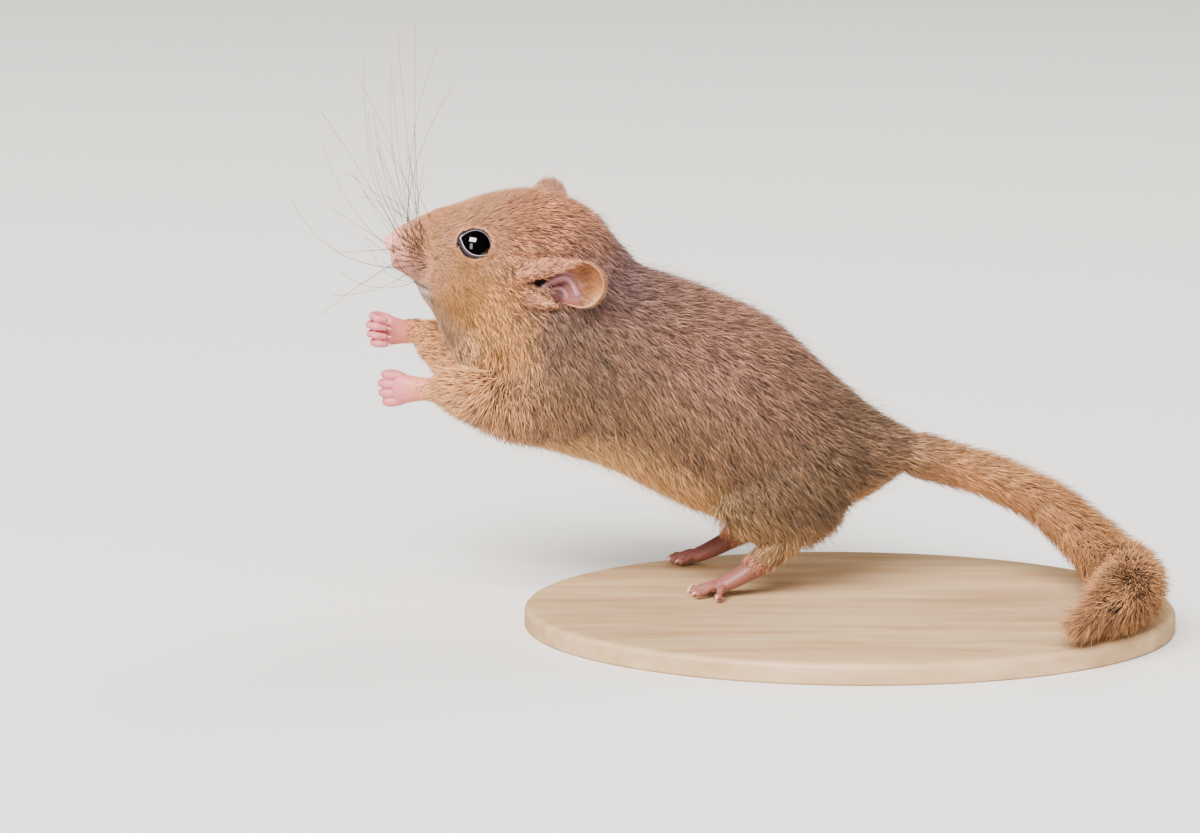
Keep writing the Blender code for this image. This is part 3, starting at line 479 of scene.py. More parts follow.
def ear_ways(side):
    """The ear's ways: from its centre to its tip, out of the cup, and across."""
    along = unit(np.array(EARS[side]["tip_way"], float))
    facing = np.array(EARS[side]["facing"], float)
    normal = unit(facing - along * (facing @ along))
    return along, normal, np.cross(normal, along)


def off_ear(points):
    """0 for what lies under or in the cup of an ear, where no coat grows, and 1 elsewhere."""
    free = np.ones(len(points))
    for side in (-1, 1):
        along, normal, across = ear_ways(side)
        away = points - EARS[side]["centre"]
        x, y = away @ along, away @ across
        far = np.where(x > 0, EAR_TIP, EAR_ROOT)
        half = EAR_HALF_HEIGHT * (1 - EAR_NARROWING * np.clip(-x / EAR_ROOT, 0, 1))
        share = np.hypot(x / far, y / half)
        share = np.minimum(share, 0.8 * np.hypot((x - EAR_CANAL[0]) / 1.15, (y - EAR_CANAL[1]) / 0.62))
        free = np.minimum(free, np.where(np.abs(away @ normal) < EAR_REACH, ease(0.75, 0.9, share), 1.0))
    return free


# %% Melt the skin
def body_rings():
    """The body's tube as rings, sunk by the coat's depth, and the middle of each ring."""
    stations = np.linspace(0.5, LAST_STATION, 150)
    turns = np.linspace(0, 2 * math.pi, 96, endpoint=False)
    depth = rows_at(COAT_DEPTH, stations)[:, 0]
    station, turn = (grid.ravel() for grid in np.meshgrid(stations, turns, indexing="ij"))
    points, centres = body_at(station, turn, np.repeat(depth, len(turns)))
    shape = (len(stations), len(turns), 3)
    return points.reshape(shape), centres.reshape(shape)[:, 0]


rings, middles = body_rings()
shells = [closed_tube(rings, middles[0] + (-0.35, 0, 0), middles[-1])]
for side in (-1, 1):
    shells.append(limb_tube(sided(THIGH, side), 32, 32, sunk=THIGH_SUNK))
    shells.append(limb_tube(shin(side), 24, 24, sunk=SHIN_SUNK))
    shells.append(limb_tube(sided(ARMS[side], side), 32, 48, sunk=ARM_SUNK))
    shells.extend(head_forms(side))
skin = blended(mesh_object("skin", *joined(shells)), SKIN_GRID, 5)
print("skin melted from", len(shells), "shells")

# %% [markdown]
# Where two shells meet, melting makes a sharp valley, but on the animal loose skin bridges it. The mean of
# a point's surroundings shows how deep the valley is there, and the skin is lifted by that much. A mean
# over neighbours is the one tool that this needs, and the ways of the hair are smoothed with it later.

# %% Means over neighbours
def averaged(field, edges, rounds):
    """A field over the skin's points, each replaced by half itself and half the mean of its neighbours."""
    count = len(field)
    ends = np.concatenate([edges[:, 0], edges[:, 1]])
    others = np.concatenate([edges[:, 1], edges[:, 0]])
    many = np.maximum(np.bincount(ends, minlength=count), 1)
    field = np.array(field, float).reshape(count, -1)
    for _ in range(rounds):
        total = [np.bincount(ends, field[others, k], minlength=count) for k in range(field.shape[1])]
        field = 0.5 * field + 0.5 * np.stack(total, axis=1) / many[:, None]
    return field


def mesh_edges(obj):
    """An object's edges as pairs of point numbers."""
    edges = np.empty(len(obj.data.edges) * 2, np.int32)
    obj.data.edges.foreach_get("vertices", edges)
    return edges.reshape(-1, 2)


# %% Soften the joins
WIDE_ROUNDS, FILL_ROUNDS, FILL = 90, 12, 1.7


def softened(points, normals, edges):
    """Hollows where a limb meets the trunk are filled: each point moves out along its normal by how far the
    mean of its surroundings lies above it. The head keeps its own hollows."""
    lift = np.einsum("ij,ij->i", averaged(points, edges, WIDE_ROUNDS) - points, normals)
    behind = ease(40.5, 37.0, points[:, 2]) * ease(-43.0, -38.0, points[:, 0])
    fill = averaged(np.maximum(lift, 0.0) * FILL * behind, edges, FILL_ROUNDS)
    return points + normals * fill


skin_points, skin_faces, skin_normals = mesh_arrays(skin)
edges = mesh_edges(skin)
softer = softened(skin_points, skin_normals, edges)
print("joins lifted by up to", round(np.linalg.norm(softer - skin_points, axis=1).max(), 2), "mm")
skin_points = softer

# %% [markdown]
# The lids open in an almond that tilts down towards the ear. Its edge is given as the side view shows it,
# and is taken back along the view onto the ball, so that the lids hug the ball and the fur knows where to
# stop.

# %% The opening of the eyes
ELEVATION = math.radians(10.0)
# Right and up from the middle of the ball, from the front corner over the top
OPENING = np.array([
    (-2.05, 1.15), (-1.44, 1.59), (-0.84, 1.92), (-0.2, 2.07), (0.46, 2.02), (1.12, 1.72), (1.64, 1.2),
    (1.98, 0.52), (2.12, -0.17), (2.08, -0.84), (1.5, -1.28), (0.8, -1.44), (-0.06, -1.38), (-0.77, -1.08),
    (-1.36, -0.55), (-1.76, 0.15), (-1.98, 0.75),
])


def lid_edge(count=120):
    """The opening's edge in the eye's own ways, backwards, upwards and outwards, with the way that leads
    off it along the ball. Ahead of the front corner the lid is drawn out, which the third value tells."""
    back, out, up = eye_frame(-1)[1:]
    view = np.array((0.0, -math.cos(ELEVATION), math.sin(ELEVATION)))
    high = np.array((0.0, math.sin(ELEVATION), math.cos(ELEVATION)))
    table = np.concatenate([OPENING[-1:], OPENING, OPENING[:2]])
    seen = rows_at(table, 1 + np.linspace(0, len(OPENING), count, endpoint=False))
    flat = seen[:, :1] * np.array((1.0, 0.0, 0.0)) + seen[:, 1:] * high
    edge = flat + view * np.sqrt(EYE_RADIUS**2 - (flat**2).sum(axis=1))[:, None]
    edge = edge @ np.stack([back, up, out], axis=1)
    away = unit(np.cross(np.roll(edge, -1, axis=0) - np.roll(edge, 1, axis=0), edge))
    if (away * (edge - edge.mean(axis=0))).sum() < 0:
        away = -away
    return edge, away, np.exp(-((np.linalg.norm(edge - edge[0], axis=1) / 0.55) ** 2))


LID_WIDTH = 0.5


def near_eye(points):
    """How far each point is from the nearer eye's middle, as a share of the way to the rim of its lids."""
    edge, away, front = lid_edge()
    rim = edge + away * (LID_WIDTH * (1 + 0.7 * front))[:, None]
    rim_turn, rim_reach = np.arctan2(rim[:, 1], rim[:, 0]), np.hypot(rim[:, 0], rim[:, 1])
    nearest_rim = np.full(len(points), FAR_AWAY)
    for side in (-1, 1):
        centre, back, out, up = eye_frame(side)
        from_eye = points - centre
        x, y = from_eye @ back, from_eye @ up
        reach = np.interp(np.arctan2(y, x), rim_turn, rim_reach, period=2 * math.pi)
        share = np.where(from_eye @ out > -1.5, np.hypot(x, y) / reach, FAR_AWAY)
        nearest_rim = np.minimum(nearest_rim, share)
    return nearest_rim


def with_sockets(points):
    """The skin inside the rim of the lids is drawn in under the ball, and at the ear's canal too."""
    depth = 2.0 * ease(1.02, 0.82, near_eye(points))
    for side in (-1, 1):
        centre, _, out, _ = eye_frame(side)
        close = np.linalg.norm(points - centre, axis=1) < 2.0 * EYE_RADIUS
        points = points - out * (depth * close)[:, None]
        along, normal, across = ear_ways(side)
        away = points - EARS[side]["centre"]
        off_canal = np.hypot(away @ along - EAR_CANAL[0], (away @ across - EAR_CANAL[1]) / 0.55)
        drawn = 1.4 * ease(1.2, 0.3, off_canal) * (np.abs(away @ normal) < EAR_REACH)
        points = points - normal * drawn[:, None]
    return points


# %% [markdown]
# The mouth is shut, and from the side it is only a line, so it is a shallow groove and not an opening. The
# nostrils are hollows too. Both move the skin's own points in along their normals, so that no seam is
# needed.

# %% The mouth and nostrils
# The line of the mouth lies where a plane cuts the snout: from its front point to the corner, in x and z
LIP_FRONT, LIP_CORNER = np.array((-51.5, 45.7)), np.array((-44.6, 43.0))


def over_mouth(points):
    """How far each point is above the plane of the mouth, and how surely it is ahead of the mouth's
    corner."""
    along = (LIP_CORNER - LIP_FRONT) / np.linalg.norm(LIP_CORNER - LIP_FRONT)
    above = (points[:, [0, 2]] - LIP_FRONT) @ np.array((-along[1], along[0]))
    return above, ease(LIP_CORNER[0] + 0.5, LIP_CORNER[0] - 0.8, points[:, 0])


def with_mouth(points, normals):
    """A groove along the mouth, a bell curve of the distance from its plane, and the lower jaw drawn
    back."""
    above, ahead = over_mouth(points)
    groove = 0.5 * np.exp(-((above / 0.3) ** 2)) * ahead
    drawn = 0.9 * ease(0.0, -0.7, above) * ease(-45.5, -48.6, points[:, 0])
    return points - normals * groove[:, None] + np.array((1.0, 0, 0.15)) * drawn[:, None]


NOSTRIL, NOSTRIL_RADII = np.array((-49.95, 1.5, 48.25)), np.array((0.5, 0.75, 0.38))


def nostrils(points):
    """A bell curve of the distance from the nearer nostril, which is drawn out along its radii."""
    away = (points * (1, 0, 1) + np.abs(points + (0, 0.15, 0)) * (0, 1, 0) - NOSTRIL) / NOSTRIL_RADII
    return np.exp(-((away**2).sum(axis=1)))


shaped = with_sockets(with_mouth(skin_points, skin_normals))
placed = (shaped - skin_normals * 0.5 * nostrils(shaped)[:, None] + OFFSET) * MM
skin.data.vertices.foreach_set("co", placed.astype(np.float32).ravel())
skin.data.update()
skin_points, skin_faces, skin_normals = mesh_arrays(skin)
skin_near_eye, skin_off_ear = near_eye(skin_points), off_ear(skin_points)
print("skin:", len(skin_points), "points,", len(skin_faces), "triangles")

# %% [markdown]
# ## Which way the coat lies
#
# Hair grows backwards from the nose, down over the cheeks and flanks, and along each limb to the paw. The
# body's and limbs' own grids know these ways, so each serves as a set of guides. Every point of the skin
# takes the way of the guide nearest to it, and the ways are then averaged with their neighbours' so that
# they turn gently where a limb meets the trunk.

# %% Guides
KINDS = range(4)
KIND_BODY, KIND_ARM, KIND_LEG, KIND_EAR = KINDS


def guide_set(points, ways, kind, station, low_side):
    """One block of guides: place, way of the hair, kind of limb, how far along, and how far to the
    belly."""
    count = len(points)
    return {
        "point": points, "way": ways, "kind": np.full(count, kind, float),
        "station": np.asarray(station, float), "low": np.asarray(low_side, float),
    }


def body_guides():
    """Guides on the body's tube: the way is the change of place with the station, drawn down on the
    flanks."""
    stations = np.linspace(0.05, LAST_STATION - 0.02, 112)
    turns = np.linspace(0, 2 * math.pi, 56, endpoint=False)
    station, turn = (grid.ravel() for grid in np.meshgrid(stations, turns, indexing="ij"))
    depth = rows_at(COAT_DEPTH, station)[:, 0]
    points = body_at(station, turn, depth)[0]
    ways = unit(body_at(station + 0.03, turn, depth)[0] - body_at(station - 0.03, turn, depth)[0])
    flank = np.abs(np.sin(turn)) * ease(-0.98, -0.3, -np.cos(turn))
    droop = flank * (0.55 * ease(3.0, 5.5, station) + 0.45 * ease(7.5, 9.5, station))
    droop = droop * (1 - 0.8 * ease(12.0, 13.8, station))
    ways = unit(ways + np.array((0, 0, -1.0)) * droop[:, None])
    return guide_set(points, ways, KIND_BODY, station, -np.cos(turn))


def limb_guides(table, kind, sunk, start_way, across=(0, 1, 0)):
    """Guides on a limb. The hair starts along start_way, which carries on from the body's, and turns to run
    along the limb by its middle. The station runs from 0 at the body to 1 at the paw."""
    count, sides = 30, 18
    middle, wide, tall, along, side, up = limb_frames(table, count, across)
    depth = np.linspace(*sunk, count)
    turn = np.linspace(0, 2 * math.pi, sides, endpoint=False)
    points = rings_round(middle, up, side, tall - depth, wide - depth, turn)
    turned = ease(0.22, 0.62, np.linspace(0, 1, count))
    ways = unit(blend(np.tile(np.array(start_way, float), (count, 1)), along + (0, 0, -0.3), turned))
    share = np.repeat(np.linspace(0, 1, count), sides)
    ways = np.repeat(ways, sides, axis=0)
    return guide_set(points.reshape(-1, 3), ways, kind, share, np.tile(-np.cos(turn), count))


blocks = [body_guides()]
for side in (-1, 1):
    # The thigh is the first half of the leg, and its hair lies one way. The shin is the second half.
    thigh_guides = limb_guides(sided(THIGH, side), KIND_LEG, THIGH_SUNK, (0.6, 0, -0.8))
    thigh_guides["way"][:] = unit(np.array((0.6, 0.1 * side, -0.8)))
    thigh_guides["station"] *= 0.5
    shin_guides = limb_guides(shin(side), KIND_LEG, SHIN_SUNK, (0.4, 0, -0.9))
    shin_guides["station"] = 0.5 + 0.5 * shin_guides["station"]
    arm_guides = limb_guides(sided(ARMS[side], side), KIND_ARM, ARM_SUNK, (0.25, 0, -0.95))
    blocks.extend([thigh_guides, shin_guides, arm_guides])
    for fold in EARS[side]["folds"]:
        along_fold = np.array(fold[2][:3]) - np.array(fold[0][:3])
        blocks.append(limb_guides(np.array(fold), KIND_EAR, (0.4, 0.4), unit(along_fold), (0, 1, 0.1)))
guides = {key: np.concatenate([block[key] for block in blocks]) for key in blocks[0]}
print("guides:", len(guides["point"]))


# %% Give every point of the skin its way
BLOCK = 6000


def nearest(points, targets):
    """For each point, the number of the nearest target. Squared distance is the two squared lengths less
    twice the product of the two, so blocks of it come from one matrix product."""
    found = np.empty(len(points), int)
    square = (targets**2).sum(axis=1)
    for start in range(0, len(points), BLOCK):
        block = points[start:start + BLOCK]
        found[start:start + BLOCK] = (square[None] - 2 * block @ targets.T).argmin(axis=1)
    return found


# The rows of whiskers run together at the pad's rear, at this x and height in the side view, and each
# leaves it at an angle over the level line
PAD_CENTRE = np.array((-43.2, 46.1))
FURROW_TURNS = np.radians((65.0, 58.0, 50.5, 43.0, 36.0, 28.5, 21.0, 13.0, 5.0, -4.0, -14.0))


def from_pad(points):
    """How far each point is ahead of and above the pad's rear in the side view. The view is from a little
    above, so what stands nearer looks lower: the height less the distance from the midline times its
    tangent."""
    looks = points[:, 2] - math.tan(ELEVATION) * np.abs(points[:, 1])
    return PAD_CENTRE[0] - points[:, 0], looks - PAD_CENTRE[1]


closest = nearest(skin_points, guides["point"])
skin_way = averaged(guides["way"][closest], edges, 14)
kinds = np.stack([guides["kind"][closest] == kind for kind in KINDS], axis=1).astype(float)
skin_kind = averaged(kinds, edges, 8)
body_station = nearest(skin_points, blocks[0]["point"])
skin_station = averaged(blocks[0]["station"][body_station], edges, 4)[:, 0]
skin_low = averaged(blocks[0]["low"][body_station], edges, 4)[:, 0]
limb_share = np.where(guides["kind"][closest] != KIND_BODY, guides["station"][closest], 0.0)
skin_limb = averaged(limb_share, edges, 4)[:, 0]
evened = ease(5.6, 7.2, skin_station) * (1 - skin_kind[:, KIND_EAR])
skin_way = blend(skin_way, averaged(skin_way, edges, 80), evened)
ahead, high = from_pad(skin_points)
pad_share = ease(4.1, 3.3, skin_station) * ease(0.6, 1.4, np.abs(skin_points[:, 1]))
pad_share *= ease(1.0, 2.4, np.hypot(ahead, high))
pad_share *= ease(-0.1, 0.5, over_mouth(skin_points)[0]) * ease(0.6, 2.2, ahead)
to_pad = unit(np.stack([ahead, np.zeros(len(ahead)), -high], axis=1)) + (0.12, 0, 0)
skin_way = averaged(blend(skin_way, to_pad, 0.95 * pad_share), edges, 6)
# How deep each point lies in a crease, which sets how much shade is painted there
hollow = np.einsum("ij,ij->i", averaged(skin_points, edges, 30) - skin_points, skin_normals)
crease_shade = ease(0.02, 0.16, hollow)
print("ways set on", len(skin_way), "points")

# %% [markdown]
# ## The colours of the coat
#
# The hazel dormouse is named for its colour. Cheeks and brow are golden, the crown and back are greyer with
# a mauve cast, the flanks tan, the throat and belly cream, and the lips and paws bare pink. Light and shade
# are painted in too: the brow paler where the light falls strongly, a cool sheen in the nape's mauve, and
# the nape, shoulder, haunch and legs darker, as shade. Every hair is slate at the root and bright at the
# tip, which gives the coat its depth. The colour is a function of the place on the body, and the skin and
# its hairs both call it.

# %% Palette
def linear(code):
    """An sRGB hex colour as linear numbers: the standard curve, a straight toe then a power of 2.4."""
    parts = np.array([int(code[i:i + 2], 16) for i in (1, 3, 5)]) / 255.0
    return np.where(parts <= 0.04045, parts / 12.92, ((parts + 0.055) / 1.055) ** 2.4)


GOLD = linear("#F6AE62")
# Painted paler than the brow's own gold, as the strong light that falls on the forehead
BROW = linear("#FFB685")
CROWN = linear("#DE956A")
# Partly the nape's own greyer coat, partly a painted cool sheen and painted shade
MAUVE = linear("#83605A")
BACK = linear("#A4755F")
SHADE = linear("#83624A")
TAN = linear("#946D4C")
# Painted darker than the haunch's own tan, as the shade that falls on the haunch and legs
HAUNCH_SHADE = linear("#745A3E")
CREAM = linear("#F6C07F")
THROAT = linear("#FFC496")
LIP = linear("#FBB29C")
LIP_PALE = linear("#FFDCCB")
FOLD = linear("#F7A87C")
PINK = linear("#E27A6E")
SLATE = linear("#4A3020")
DARK = linear("#3A211B")


def furrow_ends(number):
    """How far from the pad's rear each furrow starts and ends: the upper ones start further off."""
    shift = np.sin(2.4 * number)
    return 2.5 + 1.3 * ease(0.3, 1.0, FURROW_TURNS[number]) + 0.3 * shift, 7.4 + 0.7 * shift


def furrows(points, station):
    """The dark lines between the rows of whiskers: rays that fan forwards over the pad of the lip from a
    place at its rear, each a bell curve of the distance across it, and no two as long as each other."""
    x, z = from_pad(points)
    away = np.hypot(x, z)
    turn = np.abs(np.arctan2(z, x)[:, None] - FURROW_TURNS[None])
    near, far = furrow_ends(turn.argmin(axis=1))
    line = np.exp(-((turn.min(axis=1) * away / 0.17) ** 2))
    on_pad = ease(near - 0.4, near + 0.5, away) * ease(far + 0.5, far - 1.2, away)
    return line * on_pad * ease(4.2, 3.7, station) * ease(0.4, 1.2, np.abs(points[:, 1]))


def coat_colour(points, station, low_side, kind, limb):
    """The coat's colour at a place: bands along the body, then cream below, then the limbs, each mixed in
    by an even step of the station or of the turn towards the belly."""
    colour = blend(LIP, BROW, ease(2.2, 3.4, station))
    bridge = ease(1.2, 2.0, station) * ease(3.8, 2.9, station) * ease(0.3, -0.5, low_side)
    colour = blend(colour, GOLD * 0.85, 0.6 * bridge)
    side_face = ease(-0.7, 0.1, low_side)
    colour = blend(colour, GOLD, side_face * ease(3.4, 4.8, station))
    colour = blend(colour, CROWN, (1 - side_face) * ease(5.0, 6.0, station))
    # The nape is painted mauve grey: partly its own greyer coat, partly a painted cool sheen and painted
    # shade
    nape = ease(6.3, 8.5, station + 0.2 * (1 - side_face))
    colour = blend(colour, MAUVE, nape * (1 - 0.8 * ease(-0.2, 0.45, low_side)))
    # The shoulder behind the head is painted darker, as shade
    shoulder = ease(7.2, 8.8, station - 0.9 * ease(-0.2, 0.4, low_side)) * ease(-0.8, -0.2, low_side)
    colour = blend(colour, SHADE, shoulder)
    colour = blend(colour, blend(BACK, TAN, ease(-0.5, 0.4, low_side)), ease(8.6, 10.2, station))
    # The haunch and, below, the legs are painted darker, as shade
    colour = blend(colour, HAUNCH_SHADE, ease(10.4, 12.6, station) * 0.85)
    colour = blend(colour, TAN * 1.25, ease(12.4, 13.9, station) * 0.8)
    below = ease(0.45, 0.85, low_side) * ease(3.0, 4.5, station) * (1 - ease(12.6, 13.8, station))
    colour = blend(colour, CREAM, below)
    throat = ease(0.35, 0.75, low_side) * ease(3.2, 4.2, station) * (1 - ease(6.2, 7.8, station))
    colour = blend(colour, THROAT, throat)
    above, ahead = over_mouth(points)
    colour = blend(colour, LIP_PALE, ahead * ease(1.2, -0.2, above) * ease(4.2, 3.2, station))
    colour = blend(colour, DARK, 0.8 * furrows(points, station))
    # Along the line of the mouth the coat is painted dark, as the shade in its groove
    colour = blend(colour, DARK, 0.8 * ahead * np.exp(-((above / 0.28) ** 2)) * ease(3.6, 2.8, station))
    arm, leg = kind[:, KIND_ARM], kind[:, KIND_LEG]
    forearm = blend(TAN * 1.15, blend(GOLD, FOLD, 0.4), ease(0.05, 0.55, limb))
    colour = blend(colour, forearm, arm * 0.88)
    colour = blend(colour, PINK, arm * ease(0.82, 0.97, limb) * 0.8)
    colour = blend(colour, HAUNCH_SHADE, leg * 0.6)
    colour = blend(colour, PINK * 0.7, leg * ease(0.85, 1.0, limb) * 0.6)
    return blend(colour, FOLD, kind[:, KIND_EAR] * 0.75 * ease(0.9, -0.3, low_side))


skin_colour = coat_colour(skin_points, skin_station, skin_low, skin_kind, skin_limb)
print("colours from", np.round(skin_colour.min(axis=0), 2), "to", np.round(skin_colour.max(axis=0), 2))


# %% [markdown]
# ## Materials
#
# Each finish starts from what the real thing is. A helper adds one node with its settings and its links,
# and the colours come from a painted attribute of each piece, so that the pattern belongs to the surface.

# %% A helper for nodes
def new_material(name, **sockets):
    """A material of one Principled shader, with the given values set on its sockets."""
    material = bpy.data.materials.new(name)
    material.use_nodes = True
    shader = material.node_tree.nodes["Principled BSDF"]
    for key, value in sockets.items():
        shader.inputs[key.replace("_", " ")].default_value = value
    return material


def add_node(material, kind, settings=None, values=None, links=None):
    """Adds a node: settings on the node, values on its inputs, and links from (node, output) to its
    inputs."""
    node = material.node_tree.nodes.new(kind)
    for key, value in (settings or {}).items():
        setattr(node, key, value)
    for key, value in (values or {}).items():
        node.inputs[key].default_value = value
    for key, (source, output) in (links or {}).items():
        material.node_tree.links.new(source.outputs[output], node.inputs[key])
    return node


def feed(material, socket, source, output):
    """Links a node's output to a socket of the material's shader."""
    shader = material.node_tree.nodes["Principled BSDF"]
    material.node_tree.links.new(source.outputs[output], shader.inputs[socket])


def paint(obj, colours):
    """Stores linear colours on an object's points. One that is too bright for a real surface is scaled down
    whole, so that it keeps its hue."""
    layer = obj.data.color_attributes.new("coat", "FLOAT_COLOR", "POINT")
    full = np.ones((len(colours), 4), np.float32)
    brightest = np.max(colours, axis=1, keepdims=True)
    full[:, :3] = colours / np.maximum(brightest / 0.96, 1.0)
    layer.data.foreach_set("color", full.ravel())


def painted_material(name, bump_mm=None, bump_height=0.0, stretch=(1, 1, 1), **sockets):
    """A finish whose colour is the painted attribute, with a fine noise relief of a given size in
    millimetres."""
    material = new_material(name, **sockets)
    colour = add_node(material, "ShaderNodeVertexColor", {"layer_name": "coat"})
    feed(material, "Base Color", colour, "Color")
    if bump_mm:
        place = add_node(material, "ShaderNodeTexCoord")
        mapping = add_node(
            material, "ShaderNodeMapping", values={"Scale": stretch}, links={"Vector": (place, "Object")}
        )
        noise = add_node(
            material, "ShaderNodeTexNoise",
            values={"Scale": 1 / (bump_mm * MM), "Detail": 3.0, "Roughness": 0.6},
            links={"Vector": (mapping, "Vector")},
        )
        bump = add_node(
            material, "ShaderNodeBump", values={"Strength": 0.6, "Distance": bump_height * MM},
            links={"Height": (noise, "Fac")},
        )
        feed(material, "Normal", bump, "Normal")
    return material


# %% The finishes of hide and hair
# Skin under fur: what shows between hairs is dull and dark, with a grain of hair roots 0.3 mm apart.
hide = painted_material("furred_hide", 0.3, 0.12, Roughness=0.85, Specular_IOR_Level=0.2)
# Hair: keratin with an IOR of about 1.5, but a tuft scatters light like cloth, so it is rough with a soft
# sheen.
hair = painted_material(
    "hair_keratin", Roughness=0.6, IOR=1.5, Specular_IOR_Level=0.35, Sheen_Weight=0.12, Sheen_Roughness=0.5,
)
# Bare skin of nose, lips and paws: slightly moist, with creases 0.25 mm apart and blood under the surface.
bare = painted_material(
    "bare_skin", 0.25, 0.06, Roughness=0.42, IOR=1.4, Subsurface_Weight=0.25,
    Subsurface_Radius=(0.9, 0.35, 0.25), Subsurface_Scale=0.0012,
)
# Ear: skin thin enough to glow, with down 0.2 mm apart.
ear_skin = painted_material(
    "ear_skin", 0.2, 0.05, (1, 1, 0.35), Roughness=0.55, IOR=1.4, Subsurface_Weight=0.3,
    Subsurface_Radius=(1.0, 0.35, 0.18), Subsurface_Scale=0.0008,
)
# The skin under the coat is painted at about a third of the coat's colour, with slate added: partly its own
# dark underfur and partly painted shade deep in the fur. The bare face is lighter. Creases, the sockets
# round the eyes and the skin under the ears are painted darker still, as shade.
bare_face = ease(3.4, 2.2, skin_station)
skin_shade = (0.36 + 0.42 * bare_face) * (1 - 0.6 * crease_shade)
skin_shade *= 0.15 + 0.85 * ease(0.95, 1.15, skin_near_eye) * skin_off_ear
# The nostrils are painted dark, as the shade inside them
NOSTRIL_SHADE = linear("#3A161C")
paint(skin, blend(skin_colour * skin_shade[:, None] + SLATE * 0.12, NOSTRIL_SHADE, nostrils(skin_points)))
skin.data.materials.append(hide)

# %% [markdown]
# ## Growing hair
#
# One hair is too fine to model, so what grows here is a tuft: a slender three-sided blade that rises from
# the skin, bends over and lies along the coat. Each has a dark root, a middle and a bright tip. All the
# tufts of a region are made at once as arrays: places on the skin are drawn by area, and each blade is then
# a sum of a root, a way and a lift.

# %% Draw roots on a surface
def skin_atlas(kind, station, low_side, limb, sign):
    """Unwraps the skin on its own grids. On the trunk, how far along the body runs up the map and the turn
    from belly to back runs across it, left and right apart. The limbs have a strip with a cell for each."""
    across = (1 - low_side) / 2
    up_map = 0.02 + 0.96 * station / LAST_STATION
    trunk = np.stack([0.02 + 0.31 * across + 0.34 * (sign > 0), up_map], axis=1)
    cell = 2 * (kind[:, KIND_LEG] > 0.5) + (sign > 0)
    strip = np.stack([0.70 + 0.10 * across, 0.01 + 0.245 * cell + 0.22 * limb], axis=1)
    on_limb = kind[:, KIND_ARM] + kind[:, KIND_LEG] > 0.5
    return np.where(on_limb[:, None], strip, trunk)


# The area of each of the skin's triangles is half the length of the cross product of two sides
first, second, third = np.moveaxis(skin_points[skin_faces], 1, 0)
skin_area = 0.5 * np.linalg.norm(np.cross(second - first, third - first), axis=1)
print("skin:", round(skin_area.sum()), "square mm")


def drawn_roots(count, weight, seed):
    """Picks places on the skin: triangles in proportion to area times weight, and an even place inside
    each."""
    rng = np.random.default_rng(seed)
    total = np.cumsum(skin_area * weight[skin_faces].mean(axis=1))
    picks = (np.arange(count) + rng.random(count)) / count * total[-1]
    chosen = skin_faces[np.clip(np.searchsorted(total, picks), 0, len(skin_faces) - 1)]
    a, b = rng.random(count), rng.random(count)
    over = a + b > 1
    a[over], b[over] = 1 - a[over], 1 - b[over]
    share = np.stack([1 - a - b, a, b], axis=1)
    return chosen, share


def carried(field, chosen, share):
    """A field over points, read at drawn places."""
    return np.einsum("nk,nk...->n...", share, np.asarray(field)[chosen])


# %% Make the blades
# Half the side of a tuft's own patch of the map, and the triangles of a tuft of so many stretches
PATCH = 0.0015
TRIANGLES_A_TUFT = {1: 4, 2: 10, 3: 16}


def blades(name, root, normal, way, length, width, lifts, tones, colour, atlas):
    """Tapered blades as one mesh. The middle line starts at the root and has one stretch for each lift,
    along way times cos(lift) + normal times sin(lift). Around each place but the last stand three corners:
    half a width to either side, and a third of a width up. tones are shares of the colour, and what is
    added, from root to tip."""
    count, stations = len(root), len(lifts)
    side = unit(np.cross(normal, way))
    line = [root]
    step = (length / stations)[:, None]
    for lift in lifts:
        ahead = way * np.cos(lift)[:, None] + normal * np.sin(lift)[:, None]
        line.append(line[-1] + ahead * step)
    taper = np.interp(np.arange(stations) / stations, (0, 0.4, 1.0), (0.8, 1.0, 0.35))
    rings = []
    for j in range(stations):
        half = side * (width * taper[j] / 2)[:, None]
        ridge = normal * (width * taper[j] / 3)[:, None]
        rings.extend([line[j] - half, line[j] + half, line[j] + ridge])
    points = np.stack([*rings, line[-1]], axis=1)
    each = points.shape[1]
    pattern = [(0, 2, 1)]
    for j in range(stations - 1):
        for k in range(3):
            a, b = 3 * j + k, 3 * j + (k + 1) % 3
            pattern.extend([(a, b, b + 3), (a, b + 3, a + 3)])
    last = 3 * (stations - 1)
    pattern.extend([(last + k, last + (k + 1) % 3, each - 1) for k in range(3)])
    faces = (np.arange(count)[:, None, None] * each + np.array(pattern)[None]).reshape(-1, 3)
    obj = mesh_object(name, points.reshape(-1, 3), faces)
    share = np.append(np.repeat(np.arange(stations) / stations, 3), 1.0)
    tone = np.interp(share, np.linspace(0, 1, len(tones)), np.arange(len(tones)))
    low = np.floor(tone).astype(int).clip(0, len(tones) - 2)
    mix = (tone - low)[None, :, None]
    stack = np.stack([colour * t[0] + t[1] for t in tones], axis=1)
    paint(obj, (stack[:, low] * (1 - mix) + stack[:, low + 1] * mix).reshape(-1, 3))
    offset = np.stack([np.tile((-1.0, 1.0, 0.0), stations + 1)[:each], share * 2 - 1], axis=1)
    corners = atlas[:, None] + offset[None] * PATCH
    layer = obj.data.uv_layers.new(name="OFBake")
    layer.data.foreach_set("uv", corners.reshape(-1, 2)[faces.ravel()].astype(np.float32).ravel())
    obj.data.materials.append(hair)
    return obj


# %% [markdown]
# The hair's length, its lift and the number of tufts for each square millimetre change over the body. On
# the muzzle it is like velvet; on the rump it is 3.5 mm long, with guard hairs of 5 mm. None grows on the
# eyeballs, the nose, or inside the ears.

